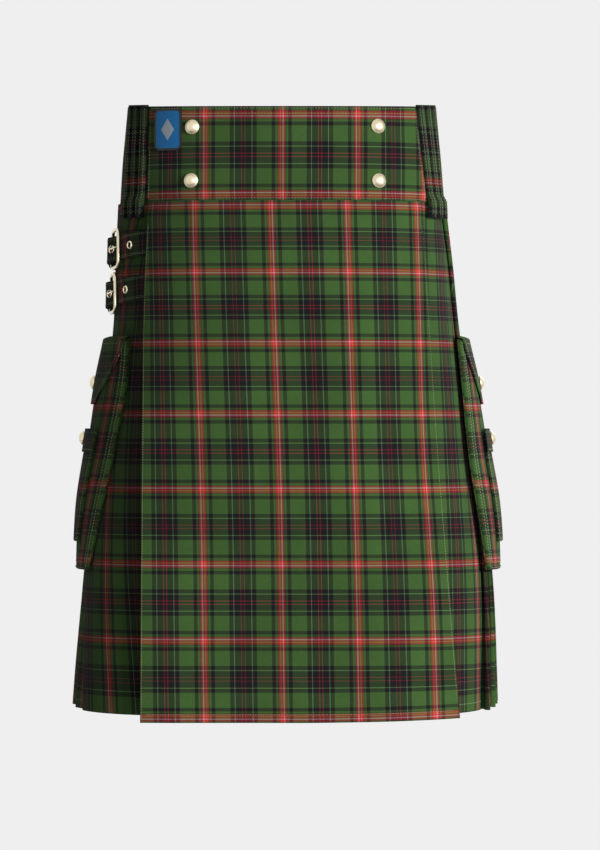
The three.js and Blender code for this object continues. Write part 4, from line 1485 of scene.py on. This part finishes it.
@dataclass
class SideStrap:
    """A side strap with its eyelets, fastened in a buckle that a cloth chape holds."""

    name: str
    z: float
    tilt: float = 0.09
    level_at: float = -20.0
    width: float = 25.0
    wall: float = 2.2
    post_depth: float = -57.0
    eyelets: tuple[EyeletPlace, ...] = (EyeletPlace(-20, 2.6), EyeletPlace(18, 3.0), EyeletPlace(56, 2.6))
    eyelet_outer: float = 4.2
    hole_margin: float = 0.9
    steps: int = 151
    strap_rows: int = 27
    strap_place: tuple[float, float] = (28.0, 0.0)
    stitch_inset: float = 2.2
    frame_length: float = 32.0
    frame_half: float = 18.75
    corner: float = 6.0
    rod: float = 1.75
    rod_round: float = 0.91
    bar: float = 1.3
    bar_from: float = 28.0
    bar_step: float = 3.0
    post_up: float = 5.5
    bar_up: float = 3.9
    bow: float = 0.6
    post_bow: float = 1.6
    post_reach: float = 6.0
    chape_wall: float = 1.1
    chape_half: float = 12.0
    chape_end: float = 58.0
    chape_low: float = 1.7
    chape_high: float = 3.2
    chape_turn: float = 2.2
    chape_slot_half: float = 3.5
    chape_slot_end: float = 4.0
    chape_fold: tuple[float, float] = (6.0, 5.2)
    chape_down: float = 13.0
    chape_from: float = 10.0
    chape_rows: int = 25
    chape_place: tuple[float, float] = (20.0, 15.0)
    prong_rod: float = 0.95
    prong_tip: float = 0.7

    def to_body(self, local: np.ndarray) -> np.ndarray:
        """Lays points given along the strap, up the body and out from it onto the body, all in mm."""
        post = BODY_FORM.ring(self.z).side_distance(self.post_depth, -1)
        drop = self.tilt * (local[:, 0] - self.level_at)
        return BODY_FORM.lay(table(self.z + local[:, 1] - drop, post - local[:, 0], local[:, 2]))

    def strap_points(self, line: np.ndarray, half: float, rows: int) -> np.ndarray:
        """Returns a grid from a line along the strap, as columns to the right seen from outside."""
        along, out = line[::-1].T
        return np.array([self.to_body(table(along, up, out)) for up in np.linspace(-half, half, rows)])

    def middle(self) -> np.ndarray:
        """Returns the strap's middle as a smooth line of points."""
        along = np.linspace(STRAP_RUN[0][0], STRAP_RUN[-1][0], self.steps)
        up = np.interp(along, *np.array(STRAP_RUN).T)
        soft = np.convolve(np.pad(up, 3, mode="edge"), np.ones(7) / 7, mode="valid")
        return table(along, soft)

    def make_strap(self, shop: Workshop) -> None:
        """Makes the strap with its holes."""
        line = self.middle()
        points = self.strap_points(line, self.width / 2, self.strap_rows)
        across = line[::-1, 0]
        up = np.linspace(-self.width / 2, self.width / 2, self.strap_rows)[:, None]
        drop = np.zeros(points.shape[:2], bool)
        for place in self.eyelets:
            drop |= np.hypot(across - place.along, up) < place.hole + self.hole_margin
        cut = Cut((STRAP_RUN[-1][0] - STRAP_RUN[0][0]) * MM, self.width * MM)
        flat = table(-across, up) + self.strap_place
        shop.sheet(self.name, points, flat, self.wall, cut=cut, drop=drop)

    def eyelet_profile(self, hole: float) -> list[tuple[float, float]]:
        """Returns an eyelet's tube and rolled rim as radius and height, round from the strap's back."""
        low, outer = self.wall / 2, self.eyelet_outer
        return [(hole + 0.15, -low), (hole, low), (hole + 0.2, low + 0.9), (hole + 0.7, low + 1.2),
                (outer - 0.4, low + 0.75), (outer, low + 0.1), (hole + 0.6, low + 0.05), (hole + 0.5, -low),
                (hole + 0.15, -low)]

    def make_eyelets(self, shop: Workshop) -> None:
        """Makes the eyelets, each set straight out of the strap."""
        line = self.middle()
        for i, place in enumerate(self.eyelets, 1):
            node = f"{self.name}_eyelet_{i}"
            piece = shop.turned(f"{node}_metal", self.eyelet_profile(place.hole), 28, True)
            x, y, z = (points_of(piece) / MM).T
            before, up, after = (np.interp(place.along + step, *line.T) for step in (-1, 0, 1))
            slope = (after - before) / 2
            move_points(piece, self.to_body(table(x + place.along - slope * z, y, up + z + slope * x)) * MM)
            face_out(piece)
            shade(piece, 50)
            shop.finish(piece, "bright", [node])

    def make_frame(self, shop: Workshop) -> None:
        """Makes the buckle's frame: a plate with round corners, opened, thickened and rounded into a rod."""
        start_clean()
        bpy.ops.mesh.primitive_plane_add(size=2, location=(0, 0, 0))
        piece = name_made(f"{self.name}_buckle_frame_metal")
        outer = np.array([self.frame_length / 2 + self.rod, self.frame_half + self.rod, 1]) * MM
        move_points(piece, points_of(piece) * outer + (self.frame_length / 2 * MM, 0, -self.rod * MM))
        bpy.ops.object.mode_set(mode="EDIT")
        bpy.ops.mesh.select_all(action="SELECT")
        bpy.ops.mesh.bevel(offset=(self.corner + self.rod) * MM, segments=7, affect="VERTICES")
        bpy.ops.mesh.select_all(action="SELECT")
        bpy.ops.mesh.inset(thickness=2 * self.rod * MM, depth=0)
        bpy.ops.mesh.delete(type="FACE")
        bpy.ops.mesh.select_all(action="SELECT")
        bpy.ops.mesh.extrude_region_move(TRANSFORM_OT_translate={"value": (0, 0, 2 * self.rod * MM)})
        bpy.ops.mesh.select_all(action="SELECT")
        bpy.ops.mesh.subdivide(number_cuts=1)
        bpy.ops.mesh.normals_make_consistent(inside=False)
        bpy.ops.object.mode_set(mode="OBJECT")
        apply_modifier(piece, "BEVEL", width=self.rod_round * self.rod * MM, segments=3, limit_method="ANGLE",
                       angle_limit=math.radians(60))
        self.shape_frame(piece)
        face_out(piece)
        shade(piece, 40)
        shop.finish(piece, "bright", [f"{self.name}_buckle_frame"])

    def shape_frame(self, piece: bpy.types.Object) -> None:
        """Bows the frame's front post, slims the bar that holds the prong, and lays the frame on the body."""
        x, y, z = (points_of(piece) / MM).T
        share = np.clip(x / self.frame_length, 0, 1)
        on_post = np.clip(1 - x / self.post_reach, 0, 1) * (1 - (y / (self.frame_half + 2)) ** 2)
        on_bar = ease((x - self.bar_from) / self.bar_step) * (np.abs(y) < self.frame_half - self.corner)
        slim = 1 - on_bar * (1 - self.bar / self.rod)
        along = self.frame_length + (x - self.frame_length) * np.where(on_bar > 0, slim, 1)
        along -= self.post_bow * on_post
        up = z * slim + mix(self.post_up, self.bar_up, share) + self.bow * on_post
        move_points(piece, self.to_body(table(along, y, up)) * MM)

    def make_prong(self, shop: Workshop) -> None:
        """Makes the prong: a bent rod from the bar's sleeve through an eyelet to the frame's front post."""
        sleeve = shop.turned(f"{self.name}_buckle_prong_metal", SLEEVE, 24, True)
        middle = np.array([self.frame_length, 0, self.bar_up]) * MM
        move_points(sleeve, points_of(sleeve)[:, [0, 2, 1]] + middle)
        start_clean()
        bpy.ops.curve.primitive_nurbs_path_add(radius=1)
        curve = bpy.context.object
        spline = curve.data.splines[0]
        run = np.array(PRONG_RUN)
        spline.points.add(len(run) - len(spline.points))
        for point, (along, up) in zip(spline.points, run):
            point.co = (along * MM, 0, up * MM, 1)
            point.radius = self.prong_tip if along < 0 else 1.0
        spline.order_u = 3
        curve.data.bevel_depth = self.prong_rod * MM
        curve.data.bevel_resolution = 3
        curve.data.use_fill_caps = True
        bpy.ops.object.convert(target="MESH")
        pick(bpy.context.object, sleeve)
        bpy.ops.object.join()
        move_points(sleeve, self.to_body(points_of(sleeve) / MM) * MM)
        face_out(sleeve)
        shade(sleeve, 45)
        shop.finish(sleeve, "bright", [f"{self.name}_buckle_prong"])

    def make_chape(self, shop: Workshop) -> None:
        """Makes the chape, which goes round the buckle's bar and back over itself."""
        bar = self.frame_length
        line = [(self.chape_end, self.chape_low), (bar + self.chape_from, self.chape_low)]
        for turn in np.linspace(-math.pi / 2, -1.5 * math.pi, 7):
            reach, rise = self.chape_turn * math.cos(turn), self.chape_turn * math.sin(turn)
            line.append((bar + reach, self.bar_up + rise))
        line += [(bar + self.chape_fold[0], self.chape_fold[1]), (bar + self.chape_down, self.chape_high),
                 (self.chape_end, self.chape_high)]
        middle = rounded(line, 1.2, 2, [8, 6, *([1] * 6), 4, 4, 8])
        points = self.strap_points(middle, self.chape_half, self.chape_rows)
        spread = distances(middle)[::-1]
        up = np.linspace(-self.chape_half, self.chape_half, self.chape_rows)[:, None]
        drop = (middle[::-1, 0] < bar + self.chape_slot_end) & (np.abs(up) < self.chape_slot_half)
        cut = Cut(round(float(spread[0]) * MM, 3), 2 * self.chape_half * MM)
        flat = table(-spread, up) + self.chape_place
        shop.sheet(f"{self.name}_buckle_chape", points, flat, self.chape_wall,
                   name=f"{self.name}_chape_cloth", cut=cut, drop=drop)

    def sew(self, sewing: Stitching) -> None:
        """Stitches the strap's two long edges."""
        along, out = self.middle()[4:-4].T
        for edge in (self.width / 2 - self.stitch_inset, self.stitch_inset - self.width / 2):
            path, above = (self.to_body(table(along, edge, out + up)) for up in (self.wall / 2, 3.0))
            sewing.run(path, unit_rows(above - path))

    def make(self, shop: Workshop, sewing: Stitching) -> None:
        """Makes the strap and its buckle."""
        self.make_strap(shop)
        self.make_eyelets(shop)
        self.make_frame(shop)
        self.make_prong(shop)
        self.make_chape(shop)
        self.sew(sewing)


@dataclass(frozen=True)
class DomePlace:
    """A snap or stud: the solid that it stands for and its height, distance and offset on the body."""

    node: str
    z: float
    along: float
    up: float


@dataclass
class Domes:
    """The brass snaps and studs, copies of one turned cap each."""

    radius: float
    height: float
    lift: float = 0.2
    pattern: bpy.types.Object | None = None

    def profile(self) -> list[tuple[float, float]]:
        """Returns the cap's turned profile: a rolled rim round a shallow dome."""
        shape = ((0.5, 0.0), (0.93, 0.0), (1.0, 0.1), (1.0, 0.24), (0.95, 0.36), (0.86, 0.42), (0.8, 0.5),
                 (0.7, 0.68), (0.55, 0.83), (0.36, 0.93), (0.18, 0.985), (0.03, 1.0))
        return [(r * self.radius, h * self.height) for r, h in shape]

    def place(self, shop: Workshop, spot: DomePlace) -> None:
        """Sets one cap on the cloth."""
        if self.pattern is None:
            self.pattern = shop.turned("cap_pattern", self.profile(), 40, False)
        piece = shop.copy(self.pattern, f"{spot.node}_metal")
        where = np.array([[spot.z, spot.along, spot.up + self.lift]])
        out = Vector(BODY_FORM.outward(where)[0])
        at = BODY_FORM.lay(where)[0] * MM
        turn = np.array(out.to_track_quat("Z", "Y").to_matrix())
        move_points(piece, points_of(piece) @ turn.T + at)
        shade(piece, 40)
        shop.finish(piece, "pale", [spot.node])

    def done(self) -> None:
        """Removes the pattern once its copies are made."""
        bpy.data.objects.remove(self.pattern)


@dataclass(frozen=True)
class PocketRow:
    """How far forward each pocket's middle is at one height, and how far its face is filled out."""

    z: float
    left: float
    right: float
    fill: float


POCKETS = (
    PocketRow(-181, 24, -12, 0.8),
    PocketRow(-228, 32, -3, 5.8),
    PocketRow(-290, 30, 10, 7.6),
    PocketRow(-345, 25, 15, 8.8),
    PocketRow(-415, 18, 19, 3),
)
FLAP_OUTLINE = ((0, 70.5), (16, 64), (32, 54), (51, 38), (68, 22))


@dataclass(frozen=True)
class TrayShape:
    """A pocket's bag: its box on the cloth, its rest, its face's height and its wall."""

    top: float
    bottom: float
    half_width: float
    rest: float
    face: float
    wall: float
    seam: float
    lifted: bool


@dataclass
class SidePocket:
    """A side pocket: its back, bag and flap, and the phone pocket with its own flap."""

    name: str
    side: int
    bag: TrayShape = TrayShape(-184, -415, 70, 2.8, 5.2, 1.5, 3.2, False)
    phone: TrayShape = TrayShape(-277, -387, 42, 5.9, 8.4, 1.3, 1.4, True)
    back_rest: float = 1.0
    back_wall: float = 1.4
    flap_top: float = -181.0
    flap_wall: float = 1.5
    flap_rest: float = 6.6
    flap_depth: float = FLAP_OUTLINE[-1][0]
    flap_seam: float = 1.6
    flap_fold: float = 2.6
    flap_stitch: float = 4.5
    flap_top_stitch: float = 7.0
    bag_stitches: tuple[float, float] = (2.2, 7.5)
    phone_stitch: float = 3.2
    phone_flap_stitch: float = 3.0
    seam_rise: float = 0.35
    phone_flap_top: float = -273.5
    phone_flap_bottom: float = -297.0
    phone_flap_half: float = 44.0
    phone_flap_rest: float = 8.9
    phone_flap_wall: float = 1.3
    stud_down: float = 46.0
    phone_stud_z: float = -283.0
    fill_reach: float = 74.0
    soft_edge: float = 0.4
    across: float = 12.0
    dark_at: float = 22.0
    down: float = 20.0

    def centre(self, z: float) -> float:
        """Returns the distance of the pocket's middle at a height."""
        forward = smooth(POCKETS, "left" if self.side < 0 else "right", z)
        return BODY_FORM.ring(z).side_distance(0, self.side) - self.side * forward

    def fill(self, z: float, along: np.ndarray | float) -> np.ndarray | float:
        """Returns how far the pocket's face is filled out."""
        return smooth(POCKETS, "fill", z) * (1 - (along / self.fill_reach) ** 2)

    def flat_place(self, z: float, along: np.ndarray, dark: bool) -> np.ndarray:
        """Returns places on the pocket's flat cloth, whose outer pieces were cut at the sett's dark part."""
        shift = -self.dark_at * self.side if dark else self.across
        return table(along * self.side + shift, z - self.down)

    def tray(self, shop: Workshop, node: str, shape: TrayShape) -> None:
        """Makes a bag: sides that stand up from the cloth, a pinched seam round its front, and a full face.

        Args:
            shop: The workshop.
            node: The solid that it stands for.
            shape: Its sizes, to the outside.
        """
        half_wall, seam = shape.wall / 2, shape.seam
        face, rest = shape.face - half_wall, shape.rest
        edge = [(half_wall, rest), (half_wall, mix(rest, face, 0.45)), (half_wall, face - 0.5),
                (half_wall + 0.3, face - 0.1), (half_wall + 0.9, face + 0.25), (half_wall + 1.6, face + 0.3),
                (half_wall + 2.4, face + 0.1), (half_wall + seam + 0.8, face - 0.12),
                (half_wall + 2 * seam + 1, face)]
        inset, lift = np.array(edge).T
        low, high, left = shape.bottom + inset, shape.top - inset, inset - shape.half_width
        face_rows, face_columns = 28, 24
        rows = np.concatenate([low, between(low[-1], high[-1], face_rows), high[::-1]])
        columns = np.concatenate([left, between(left[-1], -left[-1], face_columns), -left[::-1]])
        row_lift, column_lift = (
            np.concatenate([lift, np.full(count, face), lift[::-1]]) for count in (face_rows, face_columns)
        )
        points, flat = [], []
        spread = distances(table(columns, column_lift))
        for z, limit in zip(rows, row_lift):
            up = np.minimum(column_lift, limit)
            share = 1.0 if shape.lifted else np.clip((up - rest) / (face - rest), 0, 1)
            points.append(BODY_FORM.row(z, self.centre(z) + columns, up + share * self.fill(z, columns)))
            flat.append(self.flat_place(z + limit, spread - spread[-1] / 2, shape.lifted))
        depth = shape.face - shape.rest
        cut = Cut(round((2 * shape.half_width + 2 * depth) * MM, 3),
                  round((shape.top - shape.bottom + 2 * depth) * MM, 3))
        shop.sheet(node, np.array(points), np.array(flat), shape.wall, cut=cut, weld=True)

    def panel(self, shop: Workshop, node: str, outline: Sequence[Sequence[float]], columns: int,
              wall: float) -> None:
        """Makes a flat piece whose half width and offset change down its length.

        Args:
            shop: The workshop.
            node: The solid that it stands for.
            outline: Height, half width, the middle's offset and its share of the fill, from the bottom up.
            columns: Points across it.
            wall: Its thickness.
        """
        points, flat = [], []
        for z, half, up, share in outline:
            along = np.linspace(-half, half, columns)
            points.append(BODY_FORM.row(z, self.centre(z) + along, up + share * self.fill(z, along)))
            flat.append(self.flat_place(z, along, share > 0))
        shop.sheet(node, np.array(points), np.array(flat), wall, soft_edge=self.soft_edge)

    @staticmethod
    def flap_half(down: float) -> float:
        """Returns the flap's half width at a depth below its top."""
        return float(np.interp(down, *np.array(FLAP_OUTLINE).T))

    def make_flap(self, shop: Workshop) -> None:
        """Makes the flap, sewn to the kilt along its top and lying over the bag."""
        middle = self.flap_rest + self.flap_wall / 2
        rows = []
        for down in np.concatenate([np.linspace(self.flap_depth, 4, 34), [2.4, 1.3, 0.6, 0.2, 0.0]]):
            turn = float(ease(down / self.flap_fold)) ** 0.5
            up = mix(self.flap_seam, middle, turn)
            rows.append((self.flap_top - down, self.flap_half(down), up, turn))
        self.panel(shop, f"{self.name}_flap", rows, 61, self.flap_wall)

    def stitch(self, sewing: Stitching, line: Line, up: float) -> None:
        """Sews along a line of heights and distances from the pocket's middle."""
        places = [(z, self.centre(z) + along, up + self.fill(z, along)) for z, along in line]
        sewing.on_body(np.array(places))

    def sew(self, sewing: Stitching) -> None:
        """Stitches round the bag, the flap and the phone pocket."""
        outer, inner = self.bag_stitches
        self.sew_box(sewing, self.bag, outer, self.bag.face + self.seam_rise)
        self.sew_box(sewing, self.bag, inner, self.bag.face)
        self.sew_box(sewing, self.phone, self.phone_stitch, self.phone.face)
        up = self.flap_rest + self.flap_wall
        inset = self.flap_stitch
        outline = [(d, self.flap_half(d) - inset) for d in np.linspace(4, self.flap_depth - inset, 60)]
        for way in (-1, 1):
            self.stitch(sewing, [(self.flap_top - d, way * half) for d, half in outline], up)
        for down in (self.flap_depth - inset, self.flap_top_stitch):
            half = self.flap_half(down) - inset
            self.stitch(sewing, [(self.flap_top - down, a) for a in np.linspace(-half, half, 60)], up)
        z = mix(self.phone_flap_top, self.phone_flap_bottom, 0.88)
        half = self.phone_flap_half - self.phone_flap_stitch
        top = self.phone_flap_rest + self.phone_flap_wall
        self.stitch(sewing, [(z, a) for a in np.linspace(-half, half, 60)], top)

    def sew_box(self, sewing: Stitching, shape: TrayShape, inset: float, up: float) -> None:
        """Stitches down both sides of a bag and across its bottom."""
        half = shape.half_width - inset
        low, high = shape.bottom + inset, shape.top - inset
        for way in (-1, 1):
            self.stitch(sewing, [(z, way * half) for z in np.linspace(low, high, 90)], up)
        self.stitch(sewing, [(low, a) for a in np.linspace(-half, half, 90)], up)

    def make(self, shop: Workshop, studs: Domes, sewing: Stitching) -> None:
        """Makes the pocket."""
        back = [(z, self.bag.half_width, self.back_rest + self.back_wall / 2, 0.0)
                for z in np.linspace(self.bag.bottom, self.bag.top, 40)]
        self.panel(shop, f"{self.name}_back", back, 40, self.back_wall)
        self.tray(shop, f"{self.name}_bag", self.bag)
        self.make_flap(shop)
        self.tray(shop, f"{self.name}_phone_pocket", self.phone)
        flap = [(z, self.phone_flap_half, self.phone_flap_rest + self.phone_flap_wall / 2, 1.0)
                for z in np.linspace(self.phone_flap_bottom, self.phone_flap_top, 12)]
        self.panel(shop, f"{self.name}_phone_flap", flap, 40, self.phone_flap_wall)
        flap_up = self.flap_rest + self.flap_wall
        phone_up = self.phone_flap_rest + self.phone_flap_wall
        for suffix, z, up in (("flap_stud", self.flap_top - self.stud_down, flap_up),
                              ("phone_stud", self.phone_stud_z, phone_up)):
            spot = DomePlace(f"{self.name}_{suffix}", z, self.centre(z), up + float(self.fill(z, 0.0)))
            studs.place(shop, spot)
        self.sew(sewing)


@dataclass
class Badge:
    """The plain woven patch near the waistband's left end."""

    x: float = -115.5
    z: float = 25.2
    rest: float = 0.6
    wall: float = 1.2
    rim_rise: float = 0.25
    rows: int = 33
    columns: int = 25

    def make(self, shop: Workshop) -> None:
        """Makes the patch, with its raised edge."""
        start_clean()
        bpy.ops.mesh.primitive_grid_add(x_subdivisions=self.columns - 1, y_subdivisions=self.rows - 1,
                                        size=2, calc_uvs=True)
        piece = name_made("badge_patch_cloth")
        across, rise = points_of(piece)[:, :2].T
        past = np.maximum(np.abs(rise) * PATCH_HALF_HEIGHT - (PATCH_HALF_HEIGHT - PATCH_CORNER), 0)
        half = PATCH_HALF_WIDTH - PATCH_CORNER + np.sqrt(np.maximum(PATCH_CORNER**2 - past**2, 0.01))
        x, y = across * half, rise * PATCH_HALF_HEIGHT
        edge = np.maximum(np.abs(across), np.abs(rise))
        rim = ease((edge - 0.84) / 0.06) * ease((1.03 - edge) / 0.05)
        up = self.rest + self.wall / 2 + self.rim_rise * rim
        middle = np.array([BODY_FORM.ring(self.z + v).front_distance(self.x) for v in y])
        move_points(piece, BODY_FORM.lay(table(self.z + y, middle + x, up)) * MM)
        lay_flat(piece, table(x, y))
        apply_modifier(piece, "SOLIDIFY", thickness=self.wall * MM, offset=0.0)
        shade(piece, 45)
        shop.finish(piece, "patch", ["badge_patch"])


SNAPS = (
    ("snap_top_left", -91.2, 27.1),
    ("snap_top_right", 93.5, 28.1),
    ("snap_bottom_left", -92.2, -26.5),
    ("snap_bottom_right", 94.4, -26.5),
)


@dataclass
class Studio:
    """The pale floor, the soft lights and the camera."""

    camera_place: Place = (0.016, -5.70, -0.270)
    lens: float = 237.6
    sensor: float = 36.0
    floor_radius: float = 1.5
    floor_z: float = -1.06
    aim: Place = (0.0, 0.0, -0.3)
    fill_colour: Colour = (1.0, 0.88, 0.96, 1.0)
    fill_strength: float = 0.06
    wall_colour: Colour = (0.863, 0.863, 0.863, 1.0)

    def light(self, name: str, place: Place, size: float, power: float) -> None:
        """Hangs a soft square light, turned to the kilt.

        Args:
            name: Its name.
            place: Where it is.
            size: Its side, in metres.
            power: Its power, in watts.
        """
        start_clean()
        bpy.ops.object.light_add(type="AREA", location=place)
        lamp = name_made(name)
        lamp.data.shape = "SQUARE"
        lamp.data.size = size
        lamp.data.energy = power
        lamp.rotation_euler = (Vector(self.aim) - Vector(place)).to_track_quat("-Z", "Y").to_euler()

    def make(self, shop: Workshop) -> None:
        """Sets the studio."""
        start_clean()
        bpy.ops.object.camera_add(location=self.camera_place, rotation=(math.pi / 2, 0, 0))
        camera = name_made("camera")
        camera.data.lens = self.lens
        camera.data.sensor_width = self.sensor
        camera.data.clip_end = 50
        bpy.context.scene.camera = camera
        start_clean()
        bpy.ops.mesh.primitive_circle_add(vertices=96, radius=self.floor_radius, fill_type="NGON",
                                          location=(0, 0, self.floor_z))
        floor = name_made("floor")
        floor.data.materials.append(shop.materials["floor"])
        self.light("key", (3.2, -3.3, 0.5), 1.5, 190)
        self.light("front", (0.2, -5.2, 0.6), 1.6, 22)
        self.light("back", (1.4, 3.4, 1.2), 2.0, 30)
        scene = bpy.context.scene
        scene.view_settings.view_transform = "Standard"
        scene.view_settings.look = "None"
        world = bpy.data.worlds.new("studio")
        scene.world = world
        world.use_nodes = True
        nodes = Nodes(world.node_tree)
        light = world.node_tree.nodes["Background"]
        nodes.feed(light, in0=self.fill_colour, in1=self.fill_strength)
        seen = nodes.add("Background", None, in0=self.wall_colour, in1=1.0)
        path = nodes.add("LightPath")
        bright = nodes.maths("MAXIMUM", path.outputs["Is Camera Ray"], path.outputs["Is Glossy Ray"])
        choice = nodes.add("MixShader", None, in0=bright, in1=light.outputs[0], in2=seen.outputs[0])
        nodes.feed(world.node_tree.nodes["World Output"], in0=choice.outputs[0])


def floor_material() -> bpy.types.Material:
    """Returns the plain pale floor's material."""
    material, nodes, shader = new_material("studio floor")
    noise = nodes.add("TexNoise", None, Vector=nodes.add("TexCoord").outputs["Object"], Scale=40.0)
    tint = nodes.blend(noise.outputs[0], (0.8, 0.8, 0.8, 1), (0.84, 0.84, 0.84, 1))
    nodes.feed(shader, Base_Color=tint, Roughness=0.8)
    return material


def main() -> None:
    """Builds the kilt's pieces in order round the loaded frame."""
    logging.basicConfig(level=logging.INFO, format="%(name)s %(message)s")
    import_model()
    shared = SharedEffects()
    shop = Workshop()
    shop.materials = {
        "cloth": TartanCloth().make(shared),
        "bright": Metal("bright brass", linear(238, 226, 196), 0.18).make(shared),
        "pale": Metal("pale brass", linear(244, 230, 196), 0.36).make(shared),
        "thread": SewingThread().make(shared),
        "patch": PlainPatch().make(),
        "floor": floor_material(),
    }
    Studio().make(shop)
    Waistband().make(shop)
    Skirt().make(shop)
    sewing = Stitching(thick=0.55)
    for name, z in (("strap_upper", -89.5), ("strap_lower", -134.3)):
        SideStrap(name, z).make(shop, sewing)
    sewing.make(shop, "strap_stitching")
    snaps = Domes(7.5, 5.4)
    for node, x, z in SNAPS:
        snaps.place(shop, DomePlace(node, z, BODY_FORM.ring(z).front_distance(x), 0))
    snaps.done()
    Badge().make(shop)
    studs = Domes(7.0, 4.6)
    for name, side in (("pocket_left", -1), ("pocket_right", 1)):
        SidePocket(name, side).make(shop, studs, sewing)
        sewing.make(shop, f"{name}_stitching")
    studs.done()
    LOG.info("%d pieces", len(shop.made))


if __name__ == "__main__":
    main()
